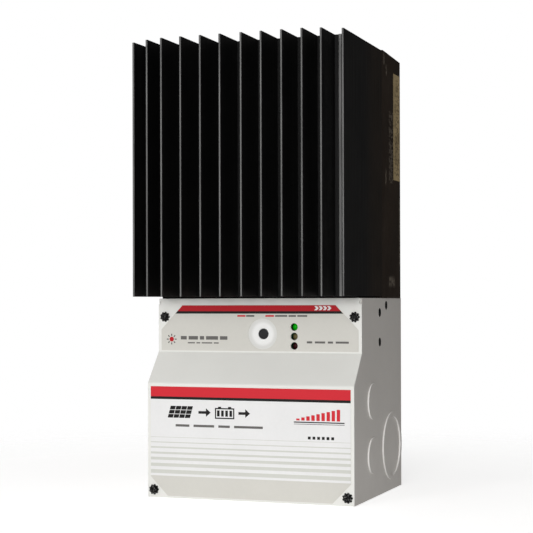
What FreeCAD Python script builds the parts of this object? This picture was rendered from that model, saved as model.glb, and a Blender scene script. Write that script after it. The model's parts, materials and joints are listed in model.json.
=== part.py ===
import FreeCAD, Part
import os
import re
import Sketcher
from FreeCAD import Rotation, Vector

# Wall-mounted charge controller. Frame: X to the right, +Y to the wall, +Z up, millimetres.
# The origin is the middle of the footprint, at the height of the wiring box's underside.

doc = FreeCAD.newDocument("charge_controller")
sizes = doc.addObject("Spreadsheet::Sheet", "sizes")

DIMENSIONS = {
    # whole object
    "total_height": 291.0, "half_width": 70.0, "half_depth": 71.0,
    # how far a cutting shape runs past a face, and the slack round a screw's thread
    "past": 1.0, "thread_gap": 0.05,
    # wiring box and its folded cover, in sheet steel
    "box_half_width": 69.5, "box_height": 128.0, "box_sheet": 1.5, "cover_sheet": 1.2,
    "upper_face": -24.2, "lower_face": -41.2, "fold_high": 93.3, "fold_low": 73.6,
    "fold_radius": 2.2, "nose_gap": 0.1, "bend_radius": 1.0, "slide_gap": 0.3,
    "window_side": 3.0, "window_front": 5.0, "window_back": 24.0,
    "tab_width": 9.5, "tab_reach": 9.0, "flange_clear": 2.0, "top_flange": 5.0, "flange_depth": 8.0,
    "side_flange_low": 16.0, "side_flange_high": 70.0,
    "notch_width": 0.7, "notch_height": 3.7, "slit_edge": 1.3, "slit_width": 0.4, "slit_height": 2.0,
    # finned extrusion and its end plates
    "sink_bottom": 129.2, "sink_top": 290.2, "sink_rear": 21.6, "web_front": -43.0, "web_back": -39.0,
    "sink_wall": 2.0, "fin_tip": 1.3, "fin_root": 1.9, "fin_front": -71.0, "fin_lap": 0.5,
    "fin_front_second": -68.0, "fin_front_outer": -62.15, "rib_x": 62.1, "rib_width": 1.8,
    "rib_front": -44.3, "port_size": 8.0, "end_recess": 5.0, "end_plate": 2.0, "end_gap": 0.15,
    "base_recess": 2.2, "slot_side": 1.0, "slot_front": 4.0, "slot_back": 8.0,
    "seal_half_width": 67.5, "seal_front": -22.5, "seal_back": 14.5,
    "end_screw": 1.65, "end_screw_reach": 12.0, "end_head": 2.9, "end_head_top": 2.2,
    "end_head_height": 1.8, "base_head": 2.6, "base_head_height": 0.15,
    # rear housing, its screws and the label set into its side
    "housing_back": 69.5, "housing_wall": 2.5, "housing_roof": 3.0, "housing_rear_top": 289.0,
    "housing_radius": 2.5, "housing_step": 0.8, "boss_size": 9.0,
    "housing_screw": 2.0, "housing_screw_gap": 0.15, "housing_screw_reach": 7.0, "housing_head": 3.8,
    "housing_head_gap": 0.4, "recess_depth": 3.0, "head_below": 0.4,
    "cup_depth": 8.0, "cup_half_width": 7.5, "cup_margin": 7.5, "cup_wall": 1.5,
    "box_boss": 10.0, "box_boss_height": 12.0, "box_screw": 1.9, "box_screw_gap": 0.3,
    "box_screw_reach": 9.5, "box_hole_spare": 0.5, "box_screw_head": 3.6, "box_head_height": 2.4,
    "label_sheet": 0.15, "label_front": 50.0, "label_back": 66.8, "label_low": 207.5,
    "label_high": 279.5, "label_gap": 0.1,
    # knockouts and holes in the box walls
    "small_knockout": 11.6, "ring_knockout": 22.6, "inner_knockout": 19.6, "knockout_lift": 1.0,
    "knockout_lap": 0.25, "knockout_root": 0.3, "side_hole": 2.9,
    # wall fixing
    "wall_hole": 2.75, "wall_hole_x": 50.0, "wall_hole_z": 14.0, "key_x": 40.0, "key_z": 262.0,
    "key_drop": 10.0, "key_slot": 2.6, "key_head": 5.0, "tongue_half_width": 52.0, "tongue_top": 278.0,
    "tongue_lap": 2.0,
    # cover fasteners
    "upper_screw_x": 64.9, "upper_screw_z": 116.1, "lower_screw_x": 65.2, "lower_screw_z": 5.1,
    "screw_radius": 1.75, "screw_gap": 0.2, "screw_reach": 8.0, "screw_head": 2.6, "head_height": 1.7,
    "head_side": 0.9, "head_slope": 0.9, "cross_reach": 1.5, "cross_half": 0.4, "cross_floor": 0.6,
    "washer_radius": 2.75, "washer_sheet": 0.5, "washer_gap": 0.1, "tooth_radius": 0.68,
    "nut_radius": 2.7, "nut_length": 4.5,
    # printed overlays
    "film": 0.2, "film_gap": 0.1, "film_half_width": 67.4, "film_above_fold": 0.9,
    "film_below_fold": 2.0, "upper_film_side": 107.9, "upper_film_half_top": 52.5,
    "upper_film_top": 123.7, "lower_film_side": 13.5, "lower_film_half_base": 55.5,
    "lower_film_base": 1.3,
    # button and lights
    "button_x": 3.4, "button_z": 105.2, "button_radius": 3.15, "button_recess": 0.8,
    "button_back": 5.7, "dish_radius": 9.7, "dish_flat": 5.5, "dish_depth": 1.6, "dish_wall": 0.6,
    "stem_radius": 1.7, "stem_gap": 0.1, "stem_clear": 3.5, "button_switch_half": 3.8,
    "button_switch_depth": 3.6, "button_switch_floor": 2.2,
    "light_x": 24.8, "light_z": 103.7, "light_pitch": 6.0, "light_hole": 2.4, "light_seat": 4.0,
    "light_radius": 2.4, "light_rim": 2.85, "light_rim_height": 1.0, "light_length": 3.4,
    "spacer_half": 3.1,
    # printed circuit board, its spacers, brackets and screws
    "board_front": -12.0, "board_sheet": 1.6, "board_half_width": 58.0, "board_bottom": 40.0,
    "board_top": 262.0, "board_hole": 1.6, "board_screw": 1.45, "board_screw_reach": 8.0,
    "board_screw_head": 2.8, "board_head_height": 1.8, "spacer_radius": 3.0,
    "bracket_sheet": 1.5, "bracket_inner_x": 49.0, "bracket_low": 80.0, "bracket_high": 124.0,
    "bracket_foot_high": 95.0, "bracket_foot_back": 22.0, "bracket_screw_reach": 7.0,
    # power terminals
    "lug_first_x": -11.0, "lug_pitch": 19.5, "lug_half_width": 7.5, "lug_low": 46.0, "lug_high": 64.0,
    "lug_back": -16.0, "lug_front": -34.0, "lug_way": 4.5, "way_back": -19.0, "way_front": -29.5,
    "barrier_half": 0.75, "barrier_over": 2.0, "clamp_sheet": 1.5, "clamp_gap": 0.2, "clamp_end": 1.0,
    "grub_radius": 3.0, "grub_length": 8.5, "grub_seat": 0.15, "grub_slot_depth": 1.8,
    "grub_slot_half": 0.6,
    # setting switches
    "switch_left": -46.0, "switch_pitch": 2.54, "switch_low": 104.0, "switch_height": 9.9,
    "switch_depth": 4.0, "switch_end": 0.85, "slot_half_width": 0.85, "slot_half_height": 2.2,
    "slot_depth": 1.3, "slider_half_width": 0.65, "slider_proud": 0.5, "slider_depth": 1.1,
    "slider_drop": 2.1, "slider_height": 2.0,
    # network and signal connectors
    "jack_low": 44.0, "jack_high": 60.0, "jack_roof": 3.0, "jack_floor": 3.5,
    "signal_low": 68.0, "signal_high": 78.0, "signal_screw_z": 74.5, "signal_way_high": 73.0,
    "signal_way_front": 2.5, "signal_way_back": 3.0, "signal_head_depth": 3.0,
    "signal_head_recess": 0.8, "signal_slot_depth": 1.6, "signal_slot_half": 0.3,
    # earth terminal
    "earth_half": 6.0, "earth_y": 58.0, "earth_height": 12.0, "earth_bore": 3.0, "earth_bore_z": 6.0,
    "earth_screw": 2.5, "earth_screw_low": 9.5, "earth_screw_high": 16.0, "earth_slot_half": 0.5,
    "earth_slot_depth": 1.4,
    # power stage on the heatsink's web, and the large parts behind the board
    "pad_sheet": 0.8, "pad_half_width": 45.0, "pad_half_height": 11.0,
    "transistor_half": 7.8, "transistor_depth": 5.0, "transistor_half_height": 10.0,
    "bar_sheet": 2.5, "bar_half_width": 50.0, "bar_half_height": 3.0, "bar_screw": 1.5,
    "bar_screw_reach": 3.0, "bar_screw_head": 2.7, "bar_head_height": 2.0,
    "can_radius": 8.0, "can_length": 40.0, "core_depth": 12.0, "core_ring": 18.0, "core_tube": 9.0,
}

for row, (alias, value) in enumerate(DIMENSIONS.items(), start=1):
    sizes.set(f"A{row}", alias.replace("_", " "))
    sizes.set(f"B{row}", str(value))
    sizes.setAlias(f"B{row}", alias)
doc.recompute()

WORD = re.compile(r"[A-Za-z_][A-Za-z_0-9]*")
nodes = []


def formula(text):
    """Point each dimension's name in a formula at its cell."""
    return WORD.sub(lambda m: "sizes." + m.group() if m.group() in DIMENSIONS else m.group(), str(text))


def number(text):
    """The present value of a formula."""
    return float(sizes.evalExpression(formula(text)))


def node(thing, label):
    """Name a finished sub-part; the label names its file."""
    thing.Label = label
    nodes.append(thing)
    return thing


# ---------------------------------------------------------------- solids and booleans

AXES = {"x": Vector(1, 0, 0), "y": Vector(0, 1, 0), "z": Vector(0, 0, 1)}


def place(thing, x, y, z):
    for axis, text in zip("xyz", (x, y, z)):
        thing.setExpression(f"Placement.Base.{axis}", formula(text))


def block(x, y, z):
    """A box between low and high formulas on each axis."""
    box = doc.addObject("Part::Box", "block")
    for side, (low, high) in zip(("Length", "Width", "Height"), (x, y, z)):
        box.setExpression(side, formula(f"({high})-({low})"))
    place(box, x[0], y[0], z[0])
    return box


def lie_along(thing, axis, across, low):
    """Turn a solid of revolution on to an axis and set its base point."""
    thing.Placement.Rotation = Rotation(AXES["z"], AXES[axis])
    first, second = across
    spot = {"x": (low, first, second), "y": (first, low, second), "z": (first, second, low)}[axis]
    place(thing, *spot)
    return thing


def rod(axis, across, radius, low, high):
    """A cylinder along an axis; across gives its centre on the other two axes."""
    cylinder = doc.addObject("Part::Cylinder", "rod")
    cylinder.setExpression("Radius", formula(radius))
    cylinder.setExpression("Height", formula(f"({high})-({low})"))
    return lie_along(cylinder, axis, across, low)


def cone(axis, across, radius_low, radius_high, low, high):
    frustum = doc.addObject("Part::Cone", "cone")
    frustum.setExpression("Radius1", formula(radius_low))
    frustum.setExpression("Radius2", formula(radius_high))
    frustum.setExpression("Height", formula(f"({high})-({low})"))
    return lie_along(frustum, axis, across, low)


def ball(radius, x, y, z):
    sphere = doc.addObject("Part::Sphere", "ball")
    sphere.setExpression("Radius", formula(radius))
    place(sphere, x, y, z)
    return sphere


def ring(axis, across, middle, radius_ring, radius_tube):
    """A torus about an axis; middle is its centre along that axis."""
    torus = doc.addObject("Part::Torus", "ring")
    torus.setExpression("Radius1", formula(radius_ring))
    torus.setExpression("Radius2", formula(radius_tube))
    return lie_along(torus, axis, across, middle)


def fuse(*shapes):
    if len(shapes) == 1:
        return shapes[0]
    union = doc.addObject("Part::MultiFuse", "fuse")
    union.Shapes = list(shapes)
    union.Refine = True
    return union


def cut(base, *tools):
    difference = doc.addObject("Part::Cut", "cut")
    difference.Base = base
    difference.Tool = fuse(*tools)
    difference.Refine = True
    return difference


def group(*shapes):
    """Identical fasteners or components, kept as separate solids of one sub-part."""
    compound = doc.addObject("Part::Compound", "group")
    compound.Links = list(shapes)
    return compound


# ---------------------------------------------------------------- sketched bodies

def new_body(name):
    return doc.addObject("PartDesign::Body", name)


def origin_plane(body, role):
    return next(item for item in body.Origin.OriginFeatures if item.Role == role)


def outline(body, role, points, offset="0"):
    """A closed outline on an origin plane, each corner bound to its two formulas."""
    sketch = body.newObject("Sketcher::SketchObject", "outline")
    sketch.AttachmentSupport = (origin_plane(body, role), [""])
    sketch.MapMode = "FlatFace"
    sketch.setExpression("AttachmentOffset.Base.z", formula(offset))
    corners = [Vector(number(across), number(up), 0) for across, up in points]
    count = len(corners)
    for index, corner in enumerate(corners):
        sketch.addGeometry(Part.LineSegment(corner, corners[(index + 1) % count]), False)
    for index in range(count):
        sketch.addConstraint(Sketcher.Constraint("Coincident", index, 2, (index + 1) % count, 1))
    for index, (across, up) in enumerate(points):
        for kind, text in (("DistanceX", across), ("DistanceY", up)):
            row = sketch.addConstraint(Sketcher.Constraint(kind, -1, 1, index, 1, number(text)))
            sketch.setExpression(f"Constraints[{row}]", formula(text))
    return sketch


def pad(body, sketch, length, centred=False):
    feature = body.newObject("PartDesign::Pad", "pad")
    feature.Profile = sketch
    feature.Midplane = centred
    feature.setExpression("Length", formula(length))
    return feature


def edges_where(feature, wanted):
    """Names of the edges whose ends both satisfy a test on (x, y, z)."""
    doc.recompute()
    names = []
    for index, edge in enumerate(feature.Shape.Edges, start=1):
        if all(wanted(*vertex.Point) for vertex in edge.Vertexes):
            names.append(f"Edge{index}")
    return names


def round_edges(body, feature, names, radius):
    fillet = body.newObject("PartDesign::Fillet", "round")
    fillet.Base = (feature, names)
    fillet.setExpression("Radius", formula(radius))
    return fillet


def near(value, text):
    return abs(value - number(text)) < 1e-4


# ---------------------------------------------------------------- finned heatsink

SINK_HEIGHT = "sink_top-sink_bottom"
FINS = [(6.95, "fin_front"), (20.0, "fin_front"), (33.2, "fin_front"), (46.2, "fin_front"),
        (57.4, "fin_front_second")]
PORTS = [("rib_x", "web_back+port_size/2"), ("half_width-sink_wall-port_size/2", "sink_rear-port_size/2")]
HOUSING_SCREW_Z = (150, 266)


def make_heatsink():
    body = new_body("sink_extrusion")
    wall = "half_width-sink_wall"
    channel = [("half_width", "sink_rear"), ("half_width", "web_front"), ("-half_width", "web_front"),
               ("-half_width", "sink_rear"), (f"-({wall})+port_size", "sink_rear"),
               (f"-({wall})+port_size", "sink_rear-port_size"), (f"-({wall})", "sink_rear-port_size"),
               (f"-({wall})", "web_back"), (wall, "web_back"), (wall, "sink_rear-port_size"),
               (f"{wall}-port_size", "sink_rear-port_size"), (f"{wall}-port_size", "sink_rear")]
    pad(body, outline(body, "XY_Plane", channel, "sink_bottom"), SINK_HEIGHT)
    inside = "web_front+fin_lap"
    halves = []
    for middle, front in FINS:
        fin = [(f"{middle}-fin_root/2", inside), (f"{middle}-fin_tip/2", front),
               (f"{middle}+fin_tip/2", front), (f"{middle}+fin_root/2", inside)]
        halves.append(pad(body, outline(body, "XY_Plane", fin, "sink_bottom"), SINK_HEIGHT))
    outer = [("half_width", inside), ("half_width", "fin_front_outer"),
             ("half_width-fin_tip", "fin_front_outer"), ("half_width-fin_root", inside)]
    rib = [("rib_x-rib_width/2", inside), ("rib_x-rib_width/2", "rib_front"),
           ("rib_x+rib_width/2", "rib_front"), ("rib_x+rib_width/2", inside)]
    port = [("rib_x-port_size/2", "web_back-fin_lap"), ("rib_x-port_size/2", "web_back+port_size"),
            ("rib_x+port_size/2", "web_back+port_size"), ("rib_x+port_size/2", "web_back-fin_lap")]
    for points in (outer, rib, port):
        halves.append(pad(body, outline(body, "XY_Plane", points, "sink_bottom"), SINK_HEIGHT))
    mirror = body.newObject("PartDesign::Mirrored", "mirror")
    mirror.Originals = halves
    mirror.MirrorPlane = (origin_plane(body, "YZ_Plane"), [""])
    body.Tip = mirror

    tools = [block(("-half_width+sink_wall", "half_width-sink_wall"), ("web_back", "sink_rear"), span)
             for span in (("sink_top-end_recess", "sink_top+past"),
                          ("sink_bottom-past", "sink_bottom+base_recess"))]
    for side in (-1, 1):
        for x, y in PORTS:
            spot = (f"{side}*({x})", y)
            tools.append(rod("z", spot, "end_screw+thread_gap", "sink_top-end_recess-end_screw_reach",
                             "sink_top"))
            tools.append(rod("z", spot, "end_screw+thread_gap", "sink_bottom",
                             "sink_bottom+base_recess+end_screw_reach"))
        for z in HOUSING_SCREW_Z:
            spot = (f"{side}*(half_width-sink_wall-port_size/2)", z)
            tools.append(rod("y", spot, "housing_screw+thread_gap", "sink_rear-housing_screw_reach",
                             "sink_rear"))
        for z in BAR_Z:
            tools.append(rod("y", (f"{side}*{BAR_SCREW_X}", z), "bar_screw+thread_gap",
                             "web_back-bar_screw_reach", "web_back"))
    node(cut(body, *tools), "heatsink")


def board_window(low, high):
    """The opening that the board passes through, between the wiring box and the heatsink."""
    return block(("-board_half_width-window_side", "board_half_width+window_side"),
                 ("board_front-window_front", "board_front+window_back"), (low, high))


def make_end_plates():
    across = ("-half_width+sink_wall+end_gap", "half_width-sink_wall-end_gap")
    along = ("web_back+end_gap", "sink_rear-end_gap")
    top_low, top_high = "sink_top-end_recess", "sink_top-end_recess+end_plate"
    base_low, base_high = "sink_bottom+base_recess-end_plate", "sink_bottom+base_recess"
    top = block(across, along, (top_low, top_high))
    base = block(across, along, (base_low, base_high))
    slot = block(("-board_half_width-slot_side", "board_half_width+slot_side"),
                 ("board_front-slot_front", "board_front+slot_back"),
                 (f"{base_low}-past", f"{base_high}+past"))
    screws = []
    top_holes = []
    base_holes = []
    for side in (-1, 1):
        for x, y in PORTS:
            spot = (f"{side}*({x})", y)
            hole = "end_screw+thread_gap"
            top_holes.append(rod("z", spot, hole, f"{top_low}-past", f"{top_high}+past"))
            base_holes.append(rod("z", spot, hole, f"{base_low}-past", f"{base_high}+past"))
            screws.append(fuse(rod("z", spot, "end_screw", f"{top_high}-end_screw_reach", top_high),
                               cone("z", spot, "end_head", "end_head_top", top_high,
                                    f"{top_high}+end_head_height")))
            screws.append(fuse(rod("z", spot, "end_screw", base_low, f"{base_low}+end_screw_reach"),
                               rod("z", spot, "base_head", f"{base_low}-base_head_height", base_low)))
    # the foam seal round the board's window, between the base plate and the wiring box
    seal = block(("-seal_half_width", "seal_half_width"), ("seal_front", "seal_back"),
                 ("box_height", base_low))
    node(cut(seal, board_window("box_height-past", f"{base_low}+past")), "heatsink_seal")
    node(cut(top, *top_holes), "heatsink_top_plate")
    node(cut(base, slot, *base_holes), "heatsink_base_plate")
    node(group(*screws), "end_plate_screws")


# ---------------------------------------------------------------- rear housing

BOX_SCREWS = [(55, 32), (55, 60)]


def make_rear_housing():
    body = new_body("housing_shell")
    profile = [("sink_rear", "box_height"), ("housing_back", "box_height"),
               ("housing_back", "housing_rear_top"), ("sink_rear+housing_wall", "total_height"),
               ("sink_rear", "total_height-housing_step")]
    shell = pad(body, outline(body, "YZ_Plane", profile), "2*half_width", centred=True)
    rear = edges_where(shell, lambda x, y, z: near(y, "housing_back"))
    rear = [name for name in rear if shell.Shape.getElement(name).BoundBox.ZMax > number("box_height+past")]
    round_edges(body, shell, rear, "housing_radius")

    wall = "housing_wall"
    inner_back = f"housing_back-{wall}"
    recess = "housing_back-recess_depth"
    cavity = block((f"-half_width+{wall}", f"half_width-{wall}"), ("sink_rear-past", inner_back),
                   (f"box_height+{wall}", "housing_rear_top-housing_roof"))
    solid = cut(body, cavity)
    adds = []
    holes = []
    screws = []
    for side in (-1, 1):
        x = f"{side}*(half_width-sink_wall-port_size/2)"
        edge = sorted((f"{side}*(half_width-{wall})", f"({x})-{side}*boss_size/2"), key=number)
        for z in HOUSING_SCREW_Z:
            adds.append(block(edge, ("sink_rear", inner_back), (f"{z}-boss_size/2", f"{z}+boss_size/2")))
            holes.append(rod("y", (x, z), "housing_screw+housing_screw_gap", "sink_rear-past",
                             "housing_back"))
            holes.append(rod("y", (x, z), "housing_head+housing_head_gap", recess, "housing_back+past"))
            screws.append(fuse(rod("y", (x, z), "housing_screw", "sink_rear-housing_screw_reach", recess),
                               rod("y", (x, z), "housing_head", recess, "housing_back-head_below")))
        x = f"{side}*key_x"
        low, high = "key_z-key_drop-cup_margin", "key_z+cup_margin"
        adds.append(block((f"{x}-cup_half_width-cup_wall", f"{x}+cup_half_width+cup_wall"),
                          ("housing_back-cup_depth-cup_wall", inner_back),
                          (f"{low}-cup_wall", f"{high}+cup_wall")))
        holes.append(block((f"{x}-cup_half_width", f"{x}+cup_half_width"),
                           ("housing_back-cup_depth", "housing_back+past"), (low, high)))
        for x, y in BOX_SCREWS:
            x = side * x
            adds.append(block((f"{x}-box_boss/2", f"{x}+box_boss/2"), (f"{y}-box_boss/2", f"{y}+box_boss/2"),
                              (f"box_height+{wall}", "box_height+box_boss_height")))
            holes.append(rod("z", (x, y), "box_screw+thread_gap", "box_height-past",
                             "box_height+box_screw_reach+box_hole_spare"))
    holes.append(block(("half_width-label_sheet", "half_width+past"), ("label_front", "label_back"),
                       ("label_low", "label_high")))
    node(cut(fuse(solid, *adds), *holes), "rear_housing")
    node(group(*screws), "housing_screws")
    node(block(("half_width-label_sheet", "half_width"), ("label_front+label_gap", "label_back-label_gap"),
               ("label_low+label_gap", "label_high-label_gap")), "rating_label")


# ---------------------------------------------------------------- wiring box

FOLD_SHIFT = "cover_sheet*tan(atan((upper_face-lower_face)/(fold_high-fold_low))/2)"
COVER_SCREWS = [("upper_screw_x", "upper_screw_z", "upper_face"),
                ("lower_screw_x", "lower_screw_z", "lower_face")]
SIDE_HOLES = [(17.0, 118.6), (32.6, 123.2), (17.0, 99.4)]
SMALL_KNOCKOUTS = [(-0.3, 61.9), (-0.3, 27.2)]
RING_KNOCKOUT = (45.0, 29.4)
BASE_SMALL = (45, -14)
BASE_RING = (30, 28)
BACK_WALL = ("half_depth-box_sheet-past", "half_depth+past")


def knockout(axis, across, radius, face, lift, sheet):
    """A half-sheared disc: what it adds on one side of the sheet and cuts on the other.

    face is the sheet's outer face, lift the disc's signed shift along the axis, and sheet the
    signed way from the outer face to the inner one."""
    outer = sorted((face, f"({face})+({lift})"), key=number)
    inner_face = f"({face})+({sheet})"
    inner = sorted((inner_face, f"({inner_face})+({lift})"), key=number)
    raised, sunk = (outer, inner) if number(lift) * number(sheet) < 0 else (inner, outer)
    return rod(axis, across, radius, *raised), rod(axis, across, f"{radius}-knockout_lap", *sunk)


def make_wiring_box():
    body = new_body("box_shell")
    front_high = "upper_face+cover_sheet"
    front_low = "lower_face+cover_sheet"
    profile = [("half_depth", "0"), ("half_depth", "box_height"), (front_high, "box_height"),
               (front_high, f"fold_high-{FOLD_SHIFT}"), (front_low, f"fold_low-{FOLD_SHIFT}"),
               (front_low, "0")]
    shell = pad(body, outline(body, "YZ_Plane", profile), "2*box_half_width", centred=True)
    rear = edges_where(shell, lambda x, y, z: near(y, "half_depth"))
    shell = round_edges(body, shell, rear, "bend_radius")
    nose = edges_where(shell, lambda x, y, z: near(z, f"fold_low-{FOLD_SHIFT}"))
    round_edges(body, shell, nose, "fold_radius-cover_sheet+nose_gap")

    inner_x = "box_half_width-box_sheet"
    inner_top = "box_height-box_sheet"
    hollow = block((f"-({inner_x})", inner_x), ("lower_face-past", "half_depth-box_sheet"),
                   ("box_sheet", inner_top))
    window = board_window(f"{inner_top}-past", "box_height+past")
    walls = cut(body, hollow, window)

    adds = [block(("-tongue_half_width", "tongue_half_width"), ("half_depth-box_sheet", "half_depth"),
                  ("box_height-tongue_lap", "tongue_top"))]
    holes = []
    nuts = []
    for side in (-1, 1):
        for x, z, face in COVER_SCREWS:
            back = f"{face}+cover_sheet"
            tall = ("box_sheet", f"{z}+tab_reach") if face == "lower_face" else (f"{z}-tab_reach", inner_top)
            wide = sorted((f"{side}*({inner_x})", f"{side}*({inner_x}-tab_width)"), key=number)
            adds.append(block(wide, (back, f"{back}+box_sheet"), tall))
            spot = (f"{side}*{x}", z)
            holes.append(rod("y", spot, "nut_radius", back, f"{back}+box_sheet"))
            nuts.append(cut(rod("y", spot, "nut_radius", back, f"{back}+nut_length"),
                            rod("y", spot, "screw_radius+thread_gap", f"{back}-past",
                                f"{back}+nut_length+past")))
        face = f"{side}*box_half_width"
        inward = f"{-side}*box_sheet"
        lift = f"{side}*knockout_lift"
        for y, z in SMALL_KNOCKOUTS:
            disc, recess = knockout("x", (y, z), "small_knockout", face, lift, inward)
            adds.append(disc)
            holes.append(recess)
        disc, recess = knockout("x", RING_KNOCKOUT, "ring_knockout", face, lift, inward)
        adds.append(disc)
        holes.append(recess)
        for y, z in SIDE_HOLES:
            holes.append(rod("x", (y, z), "side_hole", f"{face}-box_sheet-past", f"{face}+box_sheet+past"))
        for spot, radius in ((BASE_SMALL, "small_knockout"), (BASE_RING, "ring_knockout")):
            spot = (side * spot[0], spot[1])
            disc, recess = knockout("z", spot, radius, "0", "knockout_lift", "box_sheet")
            adds.append(disc)
            holes.append(recess)
        holes.append(rod("y", (f"{side}*wall_hole_x", "wall_hole_z"), "wall_hole", *BACK_WALL))
        x = f"{side}*key_x"
        holes.append(rod("y", (x, "key_z"), "key_slot", *BACK_WALL))
        holes.append(rod("y", (x, "key_z-key_drop"), "key_head", *BACK_WALL))
        holes.append(block((f"{x}-key_slot", f"{x}+key_slot"), BACK_WALL, ("key_z-key_drop", "key_z")))
        for x, y in BOX_SCREWS:
            holes.append(rod("z", (side * x, y), "box_screw+box_screw_gap", f"{inner_top}-past",
                             "box_height+past"))
    box = cut(fuse(walls, *adds), *holes)

    # the middle of each ringed knockout is sheared back, level with the wall
    inner_adds = []
    inner_cuts = []
    for side in (-1, 1):
        face = f"{side}*box_half_width"
        top = f"{face}+{side}*(knockout_lift+past)"
        inner_cuts.append(rod("x", RING_KNOCKOUT, "inner_knockout", *sorted((face, top), key=number)))
        back = f"{side}*(box_half_width-box_sheet)"
        fill = f"{back}+{side}*(knockout_lift+knockout_root)"
        inner_adds.append(rod("x", RING_KNOCKOUT, "inner_knockout-knockout_lap",
                              *sorted((back, fill), key=number)))
        spot = (side * BASE_RING[0], BASE_RING[1])
        inner_cuts.append(rod("z", spot, "inner_knockout", "box_sheet", "box_sheet+knockout_lift+past"))
        inner_adds.append(rod("z", spot, "inner_knockout-knockout_lap", "0",
                              "knockout_lift+knockout_root"))
    node(fuse(cut(box, *inner_cuts), *inner_adds), "wiring_box")
    node(group(*nuts), "cover_nuts")

    screws = []
    for side in (-1, 1):
        for x, y in BOX_SCREWS:
            spot = (side * x, y)
            screws.append(fuse(rod("z", spot, "box_screw", inner_top, "box_height+box_screw_reach"),
                               rod("z", spot, "box_screw_head", f"{inner_top}-box_head_height", inner_top)))
    node(group(*screws), "box_screws")


# ---------------------------------------------------------------- wiring box cover

LIGHTS = [("green", 1), ("amber", 0), ("red", -1)]


def light_spot(step):
    return ("light_x", f"light_z+{step}*light_pitch")


def make_cover():
    body = new_body("cover_sheet_metal")
    profile = [("upper_face", "box_height"), ("upper_face", "fold_high"), ("lower_face", "fold_low"),
               ("lower_face", "0"), ("lower_face+cover_sheet", "0"),
               ("lower_face+cover_sheet", f"fold_low-{FOLD_SHIFT}"),
               ("upper_face+cover_sheet", f"fold_high-{FOLD_SHIFT}"),
               ("upper_face+cover_sheet", "box_height")]
    sheet = pad(body, outline(body, "YZ_Plane", profile), "2*box_half_width", centred=True)
    outside = edges_where(sheet, lambda x, y, z: near(z, "fold_low"))
    outside += edges_where(sheet, lambda x, y, z: near(z, f"fold_high-{FOLD_SHIFT}"))
    sheet = round_edges(body, sheet, outside, "fold_radius")
    inside = edges_where(sheet, lambda x, y, z: near(z, "fold_high"))
    inside += edges_where(sheet, lambda x, y, z: near(z, f"fold_low-{FOLD_SHIFT}"))
    round_edges(body, sheet, inside, "fold_radius-cover_sheet")

    inner_x = "box_half_width-box_sheet-slide_gap"
    upper_back = "upper_face+cover_sheet"
    lower_back = "lower_face+cover_sheet"
    clear_x = "box_half_width-box_sheet-tab_width-flange_clear"
    adds = [block((f"-({clear_x})", clear_x), (upper_back, f"{upper_back}+top_flange"),
                  ("box_height-box_sheet-slide_gap-cover_sheet", "box_height-box_sheet-slide_gap")),
            block((f"-({clear_x})", clear_x), (lower_back, f"{lower_back}+flange_depth"),
                  ("box_sheet+slide_gap", "box_sheet+slide_gap+cover_sheet"))]
    dish = ("button_x", "button_z")
    adds.append(cone("y", dish, "dish_radius+dish_wall", "dish_flat+dish_wall", upper_back,
                     f"{upper_back}+dish_depth"))
    through = ("upper_face-past", f"{upper_back}+past")
    holes = [cone("y", dish, "dish_radius", "dish_flat", "upper_face", "upper_face+dish_depth"),
             rod("y", dish, "button_radius+slide_gap", "upper_face", f"{upper_back}+dish_depth+past")]
    for _, step in LIGHTS:
        holes.append(rod("y", light_spot(step), "light_hole", *through))
    for side in (-1, 1):
        edge = sorted((f"{side}*({inner_x})", f"{side}*({inner_x}-cover_sheet)"), key=number)
        adds.append(block(edge, (lower_back, f"{lower_back}+flange_depth"),
                          ("side_flange_low", "side_flange_high")))
        for x, z, face in COVER_SCREWS:
            holes.append(rod("y", (f"{side}*{x}", z), "screw_radius+screw_gap", f"{face}-past",
                             f"{face}+cover_sheet+past"))
        low = "box_height-notch_height"
        corner = (f"{side}*(box_half_width-notch_width)", f"{side}*(box_half_width+past)")
        holes.append(block(sorted(corner, key=number), through, (low, "box_height+past")))
        slit_edge = f"{side}*(box_half_width-slit_edge)"
        slit = sorted((f"{slit_edge}-{side}*slit_width", slit_edge), key=number)
        holes.append(block(slit, through, (low, f"{low}+slit_height")))
    node(cut(fuse(body, *adds), *holes), "wiring_cover")


def make_overlays():
    body = new_body("upper_film")
    low = "fold_high+film_above_fold"
    upper = [("-film_half_width", low), ("film_half_width", low), ("film_half_width", "upper_film_side"),
             ("upper_film_half_top", "upper_film_top"), ("-upper_film_half_top", "upper_film_top"),
             ("-film_half_width", "upper_film_side")]
    around = ("upper_face-film-past", "upper_face+past")
    pad(body, outline(body, "XZ_Plane", upper, "-upper_face"), "film")
    holes = [rod("y", ("button_x", "button_z"), "dish_radius+film_gap", *around)]
    for _, step in LIGHTS:
        holes.append(rod("y", light_spot(step), "light_hole+film_gap", *around))
    node(cut(body, *holes), "upper_overlay")

    body = new_body("lower_film")
    high = "fold_low-film_below_fold"
    lower = [("-film_half_width", high), ("-film_half_width", "lower_film_side"),
             ("-lower_film_half_base", "lower_film_base"), ("lower_film_half_base", "lower_film_base"),
             ("film_half_width", "lower_film_side"), ("film_half_width", high)]
    pad(body, outline(body, "XZ_Plane", lower, "-lower_face"), "film")
    node(body, "lower_overlay")


WASHER_TEETH = 9


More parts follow.
